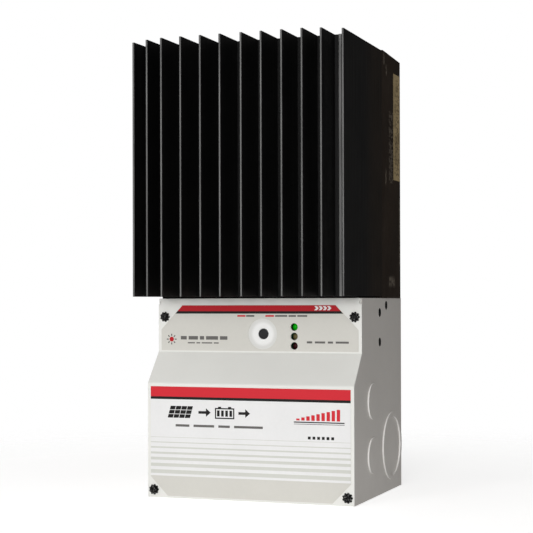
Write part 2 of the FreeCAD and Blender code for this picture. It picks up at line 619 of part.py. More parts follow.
def make_cover_fasteners():
    screws = []
    washers = []
    for side in (-1, 1):
        for x, z, face in COVER_SCREWS:
            x = f"{side}*{x}"
            spot = (x, z)
            seat = f"{face}-washer_sheet"
            rim, top = f"{seat}-head_side", f"{seat}-head_height"
            teeth = [rod("y", (f"{x}+washer_radius*cos({tooth}*360/{WASHER_TEETH})",
                               f"{z}+washer_radius*sin({tooth}*360/{WASHER_TEETH})"),
                         "tooth_radius", seat, face) for tooth in range(WASHER_TEETH)]
            washers.append(cut(fuse(rod("y", spot, "washer_radius", seat, face), *teeth),
                               rod("y", spot, "screw_radius+washer_gap", f"{seat}-past", f"{face}+past")))
            head = fuse(rod("y", spot, "screw_head", rim, seat),
                        cone("y", spot, "screw_head-head_slope", "screw_head", top, rim))
            cross = [block((f"{x}-{a}", f"{x}+{a}"), (f"{top}-past", f"{seat}-cross_floor"),
                           (f"{z}-{b}", f"{z}+{b}"))
                     for a, b in (("cross_reach", "cross_half"), ("cross_half", "cross_reach"))]
            screws.append(fuse(cut(head, *cross),
                               rod("y", spot, "screw_radius", seat, f"{face}+screw_reach")))
    node(group(*screws), "cover_screws")
    node(group(*washers), "lock_washers")


# ---------------------------------------------------------------- circuit board and its fixings

STANDOFFS = [(50, 145), (50, 202), (50, 252)]
BRACKET_SCREWS = [(54, 86), (54, 119)]
BACK_OF_BOARD = "board_front+board_sheet"


def make_board():
    board = block(("-board_half_width", "board_half_width"), ("board_front", BACK_OF_BOARD),
                  ("board_bottom", "board_top"))
    holes = []
    spacers = []
    screws = []
    brackets = []
    inner_x = "box_half_width-box_sheet"
    through = ("board_front-past", f"{BACK_OF_BOARD}+past")
    bracket_back = f"{BACK_OF_BOARD}+bracket_sheet"
    reach = "board_front-board_screw_reach"
    for side in (-1, 1):
        for x, z in STANDOFFS:
            spot = (side * x, z)
            holes.append(rod("y", spot, "board_hole", *through))
            spacers.append(cut(rod("y", spot, "spacer_radius", "web_back", "board_front"),
                               rod("y", spot, "board_screw+thread_gap", reach, "board_front")))
            screws.append(fuse(rod("y", spot, "board_screw", reach, BACK_OF_BOARD),
                               rod("y", spot, "board_screw_head", BACK_OF_BOARD,
                                   f"{BACK_OF_BOARD}+board_head_height")))
        foot = sorted((f"{side}*({inner_x})", f"{side}*({inner_x}-bracket_sheet)"), key=number)
        leg = sorted((f"{side}*({inner_x})", f"{side}*bracket_inner_x"), key=number)
        bracket_holes = []
        for x, z in BRACKET_SCREWS:
            spot = (side * x, z)
            holes.append(rod("y", spot, "board_hole", *through))
            bracket_holes.append(rod("y", spot, "board_screw+thread_gap", BACK_OF_BOARD,
                                     f"{bracket_back}+past"))
            screws.append(fuse(rod("y", spot, "board_screw_head", "board_front-board_head_height",
                                   "board_front"),
                               rod("y", spot, "board_screw", "board_front",
                                   "board_front+bracket_screw_reach")))
        brackets.append(cut(fuse(block(leg, (BACK_OF_BOARD, bracket_back), ("bracket_low", "bracket_high")),
                                 block(foot, (BACK_OF_BOARD, "board_front+bracket_foot_back"),
                                       ("bracket_low", "bracket_foot_high"))),
                            *bracket_holes))
    node(cut(board, *holes), "main_board")
    node(group(*spacers), "board_standoffs")
    node(group(*screws), "board_screws")
    node(group(*brackets), "board_brackets")


# ---------------------------------------------------------------- push button and lights

def make_button():
    spot = ("button_x", "button_z")
    half = "button_switch_half"
    cap = rod("y", spot, "button_radius", "upper_face+button_recess", "upper_face+button_back")
    stem = rod("y", spot, "stem_radius", "upper_face+button_back", "board_front-stem_clear")
    node(fuse(cap, stem), "push_button")
    front = "board_front-button_switch_depth"
    housing = block((f"button_x-{half}", f"button_x+{half}"), (front, "board_front"),
                    (f"button_z-{half}", f"button_z+{half}"))
    bore = rod("y", spot, "stem_radius+stem_gap", f"{front}-past", "board_front-button_switch_floor")
    node(cut(housing, bore), "button_switch")


def make_lights():
    seat = "board_front-light_seat"
    rim, top = f"{seat}-light_rim_height", f"{seat}-light_length"
    for colour, step in LIGHTS:
        x, z = light_spot(step)
        node(fuse(rod("y", (x, z), "light_rim", rim, seat), rod("y", (x, z), "light_radius", top, rim),
                  ball("light_radius", x, top, z)), f"status_light_{colour}")
    node(block(("light_x-spacer_half", "light_x+spacer_half"), (seat, "board_front"),
               ("light_z-light_pitch-spacer_half", "light_z+light_pitch+spacer_half")), "light_spacer")


# ---------------------------------------------------------------- setting switches

SWITCH_COUNT = 8


def make_switches():
    width = f"{SWITCH_COUNT}*switch_pitch+2*switch_end"
    front = "board_front-switch_depth"
    middle = "switch_low+switch_height/2"
    body = block(("switch_left", f"switch_left+{width}"), (front, "board_front"),
                 ("switch_low", "switch_low+switch_height"))
    slots = []
    for index in range(SWITCH_COUNT):
        x = f"switch_left+switch_end+{index + 0.5}*switch_pitch"
        slots.append(block((f"{x}-slot_half_width", f"{x}+slot_half_width"),
                           (f"{front}-past", f"{front}+slot_depth"),
                           (f"{middle}-slot_half_height", f"{middle}+slot_half_height")))
        low = f"{middle}-slider_drop"
        slider = block((f"{x}-slider_half_width", f"{x}+slider_half_width"),
                       (f"{front}-slider_proud", f"{front}+slider_depth"), (low, f"{low}+slider_height"))
        node(slider, f"setting_slider_{index + 1}")
    node(cut(body, *slots), "setting_switch_body")


# ---------------------------------------------------------------- power terminals

LUG_COUNT = 4


def make_terminals():
    tall = ("lug_low-barrier_over", "lug_high+barrier_over")
    last = f"lug_first_x+{LUG_COUNT - 0.5}*lug_pitch+barrier_half"
    walls = [block(("lug_first_x-lug_pitch/2-barrier_half", last), ("lug_back", "board_front"), tall)]
    lugs = []
    for index in range(LUG_COUNT + 1):
        x = f"lug_first_x+{index - 0.5}*lug_pitch"
        walls.append(block((f"{x}-barrier_half", f"{x}+barrier_half"),
                           ("lug_front-barrier_over", "lug_back"), tall))
    for index in range(LUG_COUNT):
        x = f"lug_first_x+{index}*lug_pitch"
        z = "(lug_low+lug_high)/2"
        lugs.append(cut(block((f"{x}-lug_half_width", f"{x}+lug_half_width"), ("lug_front", "lug_back"),
                              ("lug_low", "lug_high")),
                        block((f"{x}-lug_way", f"{x}+lug_way"), ("way_front", "way_back"),
                              ("lug_low-past", "lug_high+past")),
                        rod("y", (x, z), "grub_radius+thread_gap", "lug_front-past", "way_front+past")))
        near_face = "way_front+clamp_gap"
        plate = block((f"{x}-lug_way+clamp_gap", f"{x}+lug_way-clamp_gap"),
                      (near_face, f"{near_face}+clamp_sheet"), ("lug_low+clamp_end", "lug_high-clamp_end"))
        node(plate, f"clamp_plate_{index + 1}")
        tip, head = "way_front+grub_seat", "way_front+grub_seat-grub_length"
        slot = block((f"{x}-grub_radius-past", f"{x}+grub_radius+past"),
                     (f"{head}-past", f"{head}+grub_slot_depth"),
                     (f"{z}-grub_slot_half", f"{z}+grub_slot_half"))
        node(cut(rod("y", (x, z), "grub_radius", head, tip), slot), f"clamp_screw_{index + 1}")
    node(fuse(*walls), "terminal_base")
    node(group(*lugs), "terminal_lugs")


# ---------------------------------------------------------------- signal connectors and earth

# name, left edge, width, depth, and the mouth's width and depth
JACKS = [("network_jack", -57.0, 16.0, 13.5, 12.0, 8.0), ("meter_jack", -38.0, 13.2, 12.5, 9.8, 7.0)]
# name, left edge, number of ways, pitch and depth
SIGNAL_BLOCKS = [("sense_terminals", -57.0, 4, 5.08, 10.0), ("bus_terminals", -35.0, 3, 3.9, 9.0)]
HEAD_SHARE = 0.34
WAY_SHARE = 0.3


def make_connectors():
    for name, left, width, depth, mouth_width, mouth_depth in JACKS:
        wall = (width - mouth_width) / 2
        shell = block((left, left + width), (f"board_front-{depth}", "board_front"),
                      ("jack_low", "jack_high"))
        mouth = block((left + wall, left + width - wall),
                      (f"board_front-jack_floor-{mouth_depth}", "board_front-jack_floor"),
                      ("jack_low-past", "jack_high-jack_roof"))
        node(cut(shell, mouth), name)

    screws = []
    z = "signal_screw_z"
    for name, left, count, pitch, depth in SIGNAL_BLOCKS:
        front = f"board_front-{depth}"
        head = pitch * HEAD_SHARE
        holes = []
        for index in range(count):
            x = left + (index + 0.5) * pitch
            half = pitch * WAY_SHARE
            holes.append(rod("y", (x, z), head, f"{front}-past", f"{front}+signal_head_depth"))
            holes.append(block((x - half, x + half),
                               (f"{front}+signal_way_front", "board_front-signal_way_back"),
                               ("signal_low-past", "signal_way_high")))
            grub = rod("y", (x, z), head, f"{front}+signal_head_recess", f"{front}+signal_head_depth")
            slot = block((f"{x}-{head}-past", f"{x}+{head}+past"), (front, f"{front}+signal_slot_depth"),
                         (f"{z}-signal_slot_half", f"{z}+signal_slot_half"))
            screws.append(cut(grub, slot))
        body = block((left, left + count * pitch), (front, "board_front"), ("signal_low", "signal_high"))
        node(cut(body, *holes), name)
    node(group(*screws), "signal_screws")


def make_earth():
    top = "box_sheet+earth_height"
    lug = block(("-earth_half", "earth_half"), ("earth_y-earth_half", "earth_y+earth_half"),
                ("box_sheet", top))
    wire = rod("y", (0, "earth_bore_z"), "earth_bore", "earth_y-earth_half-past", "earth_y+earth_half+past")
    thread = rod("z", (0, "earth_y"), "earth_screw+thread_gap", "earth_bore_z", f"{top}+past")
    node(cut(lug, wire, thread), "earth_lug")
    slot = block(("-earth_screw-past", "earth_screw+past"),
                 ("earth_y-earth_slot_half", "earth_y+earth_slot_half"),
                 ("earth_screw_high-earth_slot_depth", "earth_screw_high+past"))
    screw = rod("z", (0, "earth_y"), "earth_screw", "earth_screw_low", "earth_screw_high")
    node(cut(screw, slot), "earth_screw")


# ---------------------------------------------------------------- power stage inside the heatsink

BAR_Z = (175, 228)
BAR_SCREW_X = 47
TRANSISTOR_X = (-34, -12, 12, 34)
CAN_X = (-36, -12, 12, 36)
CAN_Z = (150, 172)
CORE_X = (-29, 29)
CORE_Z = 222


def make_power_stage():
    pads = []
    transistors = []
    bars = []
    screws = []
    pad_back = "web_back+pad_sheet"
    transistor_back = f"{pad_back}+transistor_depth"
    bar_back = f"{transistor_back}+bar_sheet"
    for z in BAR_Z:
        pads.append(block(("-pad_half_width", "pad_half_width"), ("web_back", pad_back),
                          (f"{z}-pad_half_height", f"{z}+pad_half_height")))
        for x in TRANSISTOR_X:
            transistors.append(block((f"{x}-transistor_half", f"{x}+transistor_half"),
                                     (pad_back, transistor_back),
                                     (f"{z}-transistor_half_height", f"{z}+transistor_half_height")))
        bar = block(("-bar_half_width", "bar_half_width"), (transistor_back, bar_back),
                    (f"{z}-bar_half_height", f"{z}+bar_half_height"))
        spots = [(side * BAR_SCREW_X, z) for side in (-1, 1)]
        bars.append(cut(bar, *(rod("y", spot, "bar_screw+thread_gap", f"{transistor_back}-past",
                                   f"{bar_back}+past") for spot in spots)))
        for spot in spots:
            screws.append(fuse(rod("y", spot, "bar_screw", "web_back-bar_screw_reach", bar_back),
                               rod("y", spot, "bar_screw_head", bar_back, f"{bar_back}+bar_head_height")))
    node(group(*pads), "thermal_pads")
    node(group(*transistors), "power_transistors")
    node(group(*bars), "transistor_bars")
    node(group(*screws), "bar_screws")

    cans = [rod("y", (x, z), "can_radius", BACK_OF_BOARD, f"{BACK_OF_BOARD}+can_length")
            for z in CAN_Z for x in CAN_X]
    node(group(*cans), "filter_capacitors")
    cores = [ring("y", (x, CORE_Z), f"{BACK_OF_BOARD}+core_depth", "core_ring", "core_tube") for x in CORE_X]
    node(group(*cores), "inductors")


make_heatsink()
make_end_plates()
make_rear_housing()
make_wiring_box()
make_cover()
make_overlays()
make_cover_fasteners()
make_board()
make_button()
make_lights()
make_switches()
make_terminals()
make_connectors()
make_earth()
make_power_stage()
doc.recompute()

failed = [item.Label for item in doc.Objects if {"Invalid", "Error"} & set(item.State)]
if failed:
    raise RuntimeError("objects that did not compute: " + ", ".join(failed))
for item in nodes:
    if item.Shape.isNull() or not item.Shape.isValid() or not item.Shape.Solids:
        raise RuntimeError(f"{item.Label} is not a valid solid")

os.makedirs("parts", exist_ok=True)
for item in nodes:
    item.Shape.exportStep(f"parts/{item.Label}.step")
print(f"{len(nodes)} sub-parts written")
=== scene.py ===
import json
import math
import random

import bmesh
import bpy
from mathutils import Matrix, Quaternion, Vector


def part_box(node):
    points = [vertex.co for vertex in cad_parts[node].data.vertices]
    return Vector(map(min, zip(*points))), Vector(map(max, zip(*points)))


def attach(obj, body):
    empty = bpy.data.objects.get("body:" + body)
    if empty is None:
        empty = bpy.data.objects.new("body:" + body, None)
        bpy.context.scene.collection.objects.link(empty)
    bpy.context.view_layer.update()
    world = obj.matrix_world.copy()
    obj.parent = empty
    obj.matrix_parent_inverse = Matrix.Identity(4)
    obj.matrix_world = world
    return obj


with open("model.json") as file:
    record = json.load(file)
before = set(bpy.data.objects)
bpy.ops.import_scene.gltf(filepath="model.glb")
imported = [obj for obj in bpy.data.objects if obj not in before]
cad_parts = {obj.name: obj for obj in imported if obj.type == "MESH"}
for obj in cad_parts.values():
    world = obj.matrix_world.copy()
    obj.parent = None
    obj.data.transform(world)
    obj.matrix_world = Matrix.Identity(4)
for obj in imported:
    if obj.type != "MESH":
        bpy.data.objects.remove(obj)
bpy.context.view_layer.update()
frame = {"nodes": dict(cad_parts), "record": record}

MM = 0.001
NODES = frame["nodes"]
NOISE_SPAN = (0.3, 0.7)
SHARP = math.radians(32)


def box_mm(node):
    """A node's lowest and highest corners, in millimetres."""
    low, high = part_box(node)
    return [c / MM for c in low], [c / MM for c in high]


# ================================================================ shaders

class Shader:
    """A node material: a Principled shader and short ways to build what feeds it."""

    def __init__(self, name, roughness=0.5, metallic=0.0, coat=0.0, specular=0.5):
        self.material = bpy.data.materials.new(name)
        self.material.use_nodes = True
        self.tree = self.material.node_tree
        self.surface = self.tree.nodes["Principled BSDF"]
        self.surface.inputs["Roughness"].default_value = roughness
        self.surface.inputs["Metallic"].default_value = metallic
        self.surface.inputs["Coat Weight"].default_value = coat
        self.surface.inputs["Specular IOR Level"].default_value = specular
        self.place = self.add("ShaderNodeTexCoord").outputs["Object"]

    def add(self, kind, **settings):
        made = self.tree.nodes.new(kind)
        for key, value in settings.items():
            setattr(made, key, value)
        return made

    def feed(self, socket, value):
        if isinstance(value, bpy.types.NodeSocket):
            self.tree.links.new(value, socket)
        elif isinstance(value, tuple) and len(value) == 3 and socket.type == "RGBA":
            socket.default_value = (*value, 1.0)
        else:
            socket.default_value = value

    def math(self, operation, first, second=0.0, clamp=False):
        made = self.add("ShaderNodeMath", operation=operation, use_clamp=clamp)
        self.feed(made.inputs[0], first)
        self.feed(made.inputs[1], second)
        return made.outputs[0]

    def both(self, *values):
        """The product of several shares."""
        result = values[0]
        for value in values[1:]:
            result = self.math("MULTIPLY", result, value)
        return result

    def other(self, value):
        """What is left of 1."""
        return self.math("SUBTRACT", 1.0, value)

    def stretched(self, scale):
        """Object coordinates, scaled on each axis."""
        made = self.add("ShaderNodeMapping")
        self.feed(made.inputs["Vector"], self.place)
        made.inputs["Scale"].default_value = scale
        return made.outputs[0]

    def noise(self, size_mm, detail=2.0, stretch=(1, 1, 1), roughness=0.5):
        """Noise whose features are about size_mm across."""
        made = self.add("ShaderNodeTexNoise")
        scale = tuple(share / (size_mm * MM) for share in stretch)
        self.feed(made.inputs["Vector"], self.stretched(scale))
        made.inputs["Scale"].default_value = 1.0
        made.inputs["Detail"].default_value = detail
        made.inputs["Roughness"].default_value = roughness
        return made.outputs["Fac"]

    def spread(self, noise, low, high):
        """Noise, most of which lies in NOISE_SPAN, spread over low to high."""
        return self.remap(noise, *NOISE_SPAN, low, high)

    def tone(self, size_mm, detail=3.0):
        """Noise spread over the whole of 0 to 1."""
        return self.spread(self.noise(size_mm, detail), 0.0, 1.0)

    def cells(self, size_mm, feature="F1"):
        made = self.add("ShaderNodeTexVoronoi", feature=feature)
        self.feed(made.inputs["Vector"], self.stretched((1 / (size_mm * MM),) * 3))
        made.inputs["Scale"].default_value = 1.0
        return made.outputs["Distance"]

    def axis(self, name, source=None):
        """One coordinate in millimetres, or one part of another vector."""
        made = self.add("ShaderNodeSeparateXYZ")
        self.feed(made.inputs[0], source or self.place)
        part = made.outputs["XYZ".index(name)]
        return part if source else self.math("MULTIPLY", part, 1 / MM)

    def facing_signed(self, name):
        """How far the surface faces along an axis, from -1 to 1."""
        return self.axis(name, self.add("ShaderNodeNewGeometry").outputs["Normal"])

    def facing(self, name, sign=1.0):
        """How far the surface faces along an axis, from 0 to 1."""
        return self.math("MULTIPLY", self.facing_signed(name), sign, clamp=True)

    def distance(self, centre):
        """Distance in millimetres from a line; centre gives its place on two axes."""
        total = 0.0
        for name, middle in centre.items():
            offset = self.math("SUBTRACT", self.axis(name), middle)
            total = self.math("ADD", total, self.both(offset, offset))
        return self.math("SQRT", total)

    def step(self, value, low, high):
        """0 below low, 1 above high, smooth between them."""
        made = self.add("ShaderNodeMapRange", interpolation_type="SMOOTHSTEP")
        for key, number in (("Value", value), ("From Min", low), ("From Max", high)):
            self.feed(made.inputs[key], number)
        return made.outputs[0]

    def between(self, value, low, high, soft):
        """1 from low to high, 0 outside, with soft edges."""
        rise = self.step(value, low - soft, low + soft)
        return self.both(rise, self.other(self.step(value, high - soft, high + soft)))

    def remap(self, value, low, high, to_low, to_high):
        made = self.add("ShaderNodeMapRange")
        numbers = (value, low, high, to_low, to_high)
        for key, number in zip(("Value", "From Min", "From Max", "To Min", "To Max"), numbers):
            self.feed(made.inputs[key], number)
        return made.outputs[0]

    def mix(self, share, first, second):
        made = self.add("ShaderNodeMix", data_type="RGBA")
        self.feed(made.inputs["Factor"], share)
        self.feed(made.inputs[6], first)
        self.feed(made.inputs[7], second)
        return made.outputs[2]

    def colour(self, value):
        self.feed(self.surface.inputs["Base Color"], value)

    def colour_now(self):
        return self.surface.inputs["Base Color"].links[0].from_socket

    def largest(self, *values):
        result = values[0]
        for value in values[1:]:
            result = self.math("MAXIMUM", result, value)
        return result

    def rows(self, across, rate, low, high):
        """Stripes where lines of print would run; rate is in radians a millimetre."""
        wave = self.math("SINE", self.math("MULTIPLY", across, rate))
        return self.step(wave, low, high)

    def rough(self, value):
        self.feed(self.surface.inputs["Roughness"], value)

    def bump(self, height, depth_mm, strength=1.0):
        """Bumps of about depth_mm; a second call adds to the first."""
        made = self.add("ShaderNodeBump")
        made.inputs["Strength"].default_value = strength
        made.inputs["Distance"].default_value = depth_mm * MM
        self.feed(made.inputs["Height"], height)
        normal = self.surface.inputs["Normal"]
        if normal.is_linked:
            self.feed(made.inputs["Normal"], normal.links[0].from_socket)
        self.feed(normal, made.outputs["Normal"])


def shade_of(colour, factor):
    return tuple(min(1.0, part * factor) for part in colour)


def powder_coat(name, colour):
    """Baked powder paint: orange-peel grain and faint clouding."""
    shader = Shader(name, specular=0.35)
    tone = shader.math("ADD", shader.both(shader.tone(45), 0.7), shader.both(shader.tone(0.35, 1), 0.3))
    shader.colour(shader.mix(tone, shade_of(colour, 0.96), shade_of(colour, 1.03)))
    shader.rough(shader.spread(shader.noise(18, 4, roughness=0.65), 0.43, 0.58))
    shader.bump(shader.noise(1.1, 2), 0.06, 0.5)
    shader.bump(shader.noise(0.3, 1), 0.012, 0.4)
    return shader


def moulded(name, colour, roughness=0.45, grain_mm=0.25, specular=0.5):
    """Moulded plastic with a fine spark-eroded grain."""
    shader = Shader(name, specular=specular)
    shader.colour(shader.mix(shader.tone(9), colour, shade_of(colour, 1.3)))
    shader.rough(shader.spread(shader.noise(3, 2), roughness - 0.07, roughness + 0.07))
    shader.bump(shader.noise(grain_mm, 1), 0.02, 0.45)
    return shader


SIDE_HOLES = [(17.0, 118.6), (32.6, 123.2), (17.0, 99.4)]
SIDE_HOLE_REACH = 3.2


def box_coat(name, colour, side):
    """Powder paint, with painted shade in the side holes and a painted highlight on the knockouts' shoulders.
    """
    shader = powder_coat(name, colour)
    paint = shader.colour_now()
    wall = shader.other(shader.step(shader.math("ABSOLUTE", shader.facing_signed("X")), 0.8, 0.95))
    outside = shader.step(shader.math("ABSOLUTE", shader.axis("X")), side + 0.02, side + 0.12)
    # Painted highlight: faces on the box's sides that turn away from the side, such as the knockouts'
    # shoulders, are painted near white.
    paint = shader.mix(shader.both(outside, wall), paint, (0.93, 0.92, 0.90))
    rim = (SIDE_HOLE_REACH - 0.05, SIDE_HOLE_REACH + 0.05)
    near = [shader.other(shader.step(shader.distance({"Y": y, "Z": z}), *rim)) for y, z in SIDE_HOLES]
    hole_shade = shader.largest(*near)
    # Painted shade: the walls of the side holes are painted near black.
    shader.colour(shader.mix(shader.both(hole_shade, wall), paint, (0.004, 0.004, 0.004)))
    return shader


def plated(name, colour, roughness):
    """Plated metal with fine turned or rolled scratches and dulled patches."""
    shader = Shader(name, metallic=1.0)
    shader.colour(shader.mix(shader.tone(4, 4), colour, shade_of(colour, 0.72)))
    lines = shader.noise(0.5, 3, stretch=(1, 12, 1))
    shader.rough(shader.spread(lines, roughness - 0.08, roughness + 0.14))
    shader.bump(lines, 0.015, 0.4)
    return shader


def blackened(name):
    """Black zinc on steel: glossy, with grey specks painted in as glints."""
    shader = Shader(name, specular=0.1)
    # Painted highlight: scattered grey specks stand in for glints.
    painted_glints = shader.step(shader.noise(0.9, 3, roughness=0.6), 0.55, 0.66)
    shader.colour(shader.mix(painted_glints, (0.003, 0.003, 0.0034), (0.18, 0.18, 0.175)))
    shader.rough(shader.spread(shader.noise(0.8, 3), 0.18, 0.32))
    shader.bump(shader.noise(0.5, 3), 0.05, 0.7)
    return shader


def printed_film(name, colour):
    """Screen-printed polyester: a fine pebbled face with very slight ink mottling."""
    shader = Shader(name, specular=0.08)
    tone = shader.math("ADD", shader.both(shader.tone(2.2), 0.4), shader.both(shader.tone(30, 2), 0.6))
    shader.colour(shader.mix(tone, shade_of(colour, 0.97), shade_of(colour, 1.02)))
    shader.rough(shader.spread(shader.noise(2.2, 3), 0.46, 0.56))
    shader.bump(shader.noise(0.3, 1), 0.012, 0.35)
    return shader


FIN_MIDDLES = (6.95, 20.0, 33.2, 46.2, 57.4, 69.35)
# Bands of painted highlight on the fin tips and the ribs, and the depths that bound them.
TIP_HIGHLIGHT = 0.36
RIB_HIGHLIGHT = (61.3, 62.9)
RIB_DEPTH = (-44.1, -43.4)
FIN_DEPTH = (-46.0, -45.0)
# Depths over which the right side takes a painted warm reflection.
REFLECTION_DEPTH = (-22.0, 8.0)


def anodised_black():
    """Black anodised extrusion: die lines run up the fins, their front edges and the ribs' fronts carry a
    painted grey highlight, and towards the back the right side takes a painted warm reflection.
    """
    shader = Shader("anodised_black", specular=0.16)
    die_lines = shader.noise(0.7, 3, stretch=(1, 1, 0.012))
    cool = shader.mix(shader.tone(26), (0.0034, 0.0034, 0.0037), (0.0068, 0.0066, 0.0064))
    reflection_colour = shader.mix(shader.tone(26), (0.0085, 0.0056, 0.0034), (0.0150, 0.0098, 0.0063))
    depth = shader.axis("Y")
    # Painted reflection: faces toward +X turn brown toward the back.
    reflection_share = shader.both(shader.step(depth, *REFLECTION_DEPTH), shader.facing("X"))
    body = shader.mix(reflection_share, cool, reflection_colour)
    across = shader.math("ABSOLUTE", shader.axis("X"))
    # Painted highlight: the fins' front tips and the ribs' front faces are painted grey where they face the
    # front, in uneven patches.
    tips = [shader.between(across, middle - TIP_HIGHLIGHT, middle + TIP_HIGHLIGHT, 0.12) for middle in FIN_MIDDLES]
    highlight_bands = shader.largest(shader.between(across, *RIB_HIGHLIGHT, 0.25), *tips)
    edge = shader.both(shader.step(shader.facing("Y", -1.0), 0.9, 0.98), highlight_bands)
    painted_highlight = shader.both(edge, shader.other(shader.step(depth, *RIB_DEPTH)))
    highlight_patchiness = shader.spread(shader.noise(5, 4, stretch=(1, 1, 0.12)), 0.55, 1.0)
    # The painted highlight is brighter on the recessed ribs than on the fin tips, to make up for the light
    # they lack.
    grey = shader.mix(shader.step(depth, *FIN_DEPTH), (0.170, 0.170, 0.167), (0.30, 0.30, 0.295))
    shader.colour(shader.mix(shader.both(painted_highlight, highlight_patchiness), body, grey))
    shader.rough(shader.spread(die_lines, 0.36, 0.52))
    shader.bump(die_lines, 0.03, 0.35)
    return shader


PRINT_COLUMN = {"Y": (38.7, 48.5), "Z": (205.0, 253.0)}
HOUSING_RUBS = [(25.5, 28.5, 282, 289), (31.5, 34.5, 276, 282), (30, 32.5, 203, 213),
                (38, 53, 136, 142), (64, 68, 150, 195)]


def housing_black():
    """Black casting paint, a little brown; its right side has rubs and a column of broken grey bars."""
    shader = Shader("housing_black", specular=0.14)
    paint = shader.mix(shader.tone(32, 4), (0.0165, 0.0105, 0.0066), (0.0265, 0.0175, 0.0115))
    along = shader.axis("Z")
    across = shader.axis("Y")
    column = shader.both(shader.between(across, *PRINT_COLUMN["Y"], 0.15),
                         shader.between(along, *PRINT_COLUMN["Z"], 0.3))
    rows = shader.rows(across, 3.2, 0.0, 0.3)
    words = shader.step(shader.noise(1.5, 2, stretch=(1, 0.35, 1)), 0.47, 0.51)
    side = shader.step(shader.facing("X"), 0.8, 0.95)
    scuffs = shader.step(shader.noise(7, 6, stretch=(1, 1, 0.35), roughness=0.7), 0.64, 0.72)
    worn = shader.mix(shader.both(scuffs, 0.5), paint, (0.055, 0.045, 0.036))
    rubs = [shader.both(shader.between(across, low_y, high_y, 0.5), shader.between(along, low_z, high_z, 1.5))
            for low_y, high_y, low_z, high_z in HOUSING_RUBS]
    chips = shader.remap(shader.noise(1.3, 3, stretch=(1, 1, 0.5)), 0.42, 0.58, 0.1, 0.9)
    printed = shader.both(column, side, rows, words)
    pale = shader.largest(printed, shader.both(shader.largest(*rubs), side, chips))
    shader.colour(shader.mix(pale, worn, (0.165, 0.14, 0.112)))
    shader.rough(shader.spread(shader.noise(12, 4), 0.42, 0.56))
    shader.bump(shader.noise(0.8, 3), 0.06, 0.5)
    return shader


LABEL_PRINT = {"Y": (52.2, 64.8), "Z": (211.0, 276.0)}
LABEL_BLOCK = {"Y": (53.5, 63.5), "Z": (218.0, 238.0)}


def label_foil():
    """Tan foil label with rows of broken brown bars, one darker block and a plain border."""
    shader = Shader("label_foil", specular=0.35)
    field = shader.mix(shader.tone(14), (0.36, 0.27, 0.135), (0.45, 0.345, 0.185))
    across = shader.axis("Y")
    along = shader.axis("Z")
    inside = shader.both(shader.between(across, *LABEL_PRINT["Y"], 0.1),
                         shader.between(along, *LABEL_PRINT["Z"], 0.2))
    rows = shader.rows(across, 2.2, -0.1, 0.2)
    words = shader.step(shader.noise(1.9, 2, stretch=(1, 0.4, 1)), 0.5, 0.54)
    block = shader.both(shader.between(along, *LABEL_BLOCK["Z"], 0.3),
                        shader.between(across, *LABEL_BLOCK["Y"], 0.2))
    printed = shader.largest(shader.both(inside, rows, words), shader.both(block, 0.35))
    shader.colour(shader.mix(printed, field, (0.075, 0.048, 0.025)))
    shader.rough(shader.spread(shader.noise(6, 3), 0.36, 0.48))
    shader.bump(shader.noise(3, 2), 0.03, 0.3)
    return shader


def board_laminate():
    """Green solder mask: copper tracks show through as a lighter web, and wide pours as patches."""
    shader = Shader("board_laminate", roughness=0.3, coat=0.25)
    web = shader.cells(4.2, "DISTANCE_TO_EDGE")
    track = shader.other(shader.step(web, 0.05, 0.08))
    pour = shader.step(shader.noise(24, 1), 0.5, 0.52)
    mask = shader.mix(shader.tone(20, 2), (0.005, 0.062, 0.024), (0.008, 0.085, 0.034))
    copper = shader.largest(shader.both(track, 0.8), shader.both(pour, 0.45))
    shader.colour(shader.mix(copper, mask, (0.018, 0.17, 0.062)))
    shader.bump(track, 0.03, 0.4)
    return shader


def wound_copper(name):
    """Enamelled copper wire wound on a ring core: the turns show as rounded ridges, with painted shade in the
    grooves between them.
    """
    shader = Shader(name, metallic=1.0)
    turns = shader.add("ShaderNodeTexWave", wave_type="BANDS", bands_direction="DIAGONAL")
    shader.feed(turns.inputs["Vector"], shader.stretched((420, 420, 420)))
    turns.inputs["Scale"].default_value = 1.0
    ridge = turns.outputs["Fac"]
    # Painted shade: the copper is darker in the grooves between turns and lighter on their crests.
    shader.colour(shader.mix(ridge, (0.20, 0.05, 0.012), (0.62, 0.22, 0.07)))
    shader.rough(shader.remap(ridge, 0.0, 1.0, 0.5, 0.25))
    shader.bump(ridge, 0.25, 0.8)
    return shader


def lens(name, colour, glow=0.0):
    """A tinted epoxy light with a fine frosted face, glowing if it is lit."""
    shader = Shader(name, roughness=0.4, specular=0.12)
    shader.colour(shader.mix(shader.tone(1.2, 2), shade_of(colour, 0.7), colour))
    shader.bump(shader.noise(0.4, 1), 0.01, 0.3)
    if glow:
        shader.surface.inputs["Emission Color"].default_value = (*colour, 1.0)
        shader.surface.inputs["Emission Strength"].default_value = glow
    return shader


def dish_white(centre, inner, outer):
    """White print, lighter in the dish's middle and darker toward its rim."""
    shader = Shader("dish_white", specular=0.1, roughness=0.5)
    share = shader.step(shader.distance({"X": centre[0], "Z": centre[1]}), inner, outer)
    shader.colour(shader.mix(share, (0.80, 0.80, 0.79), (0.66, 0.66, 0.64)))
    shader.bump(shader.noise(0.3, 1), 0.012, 0.35)
    return shader


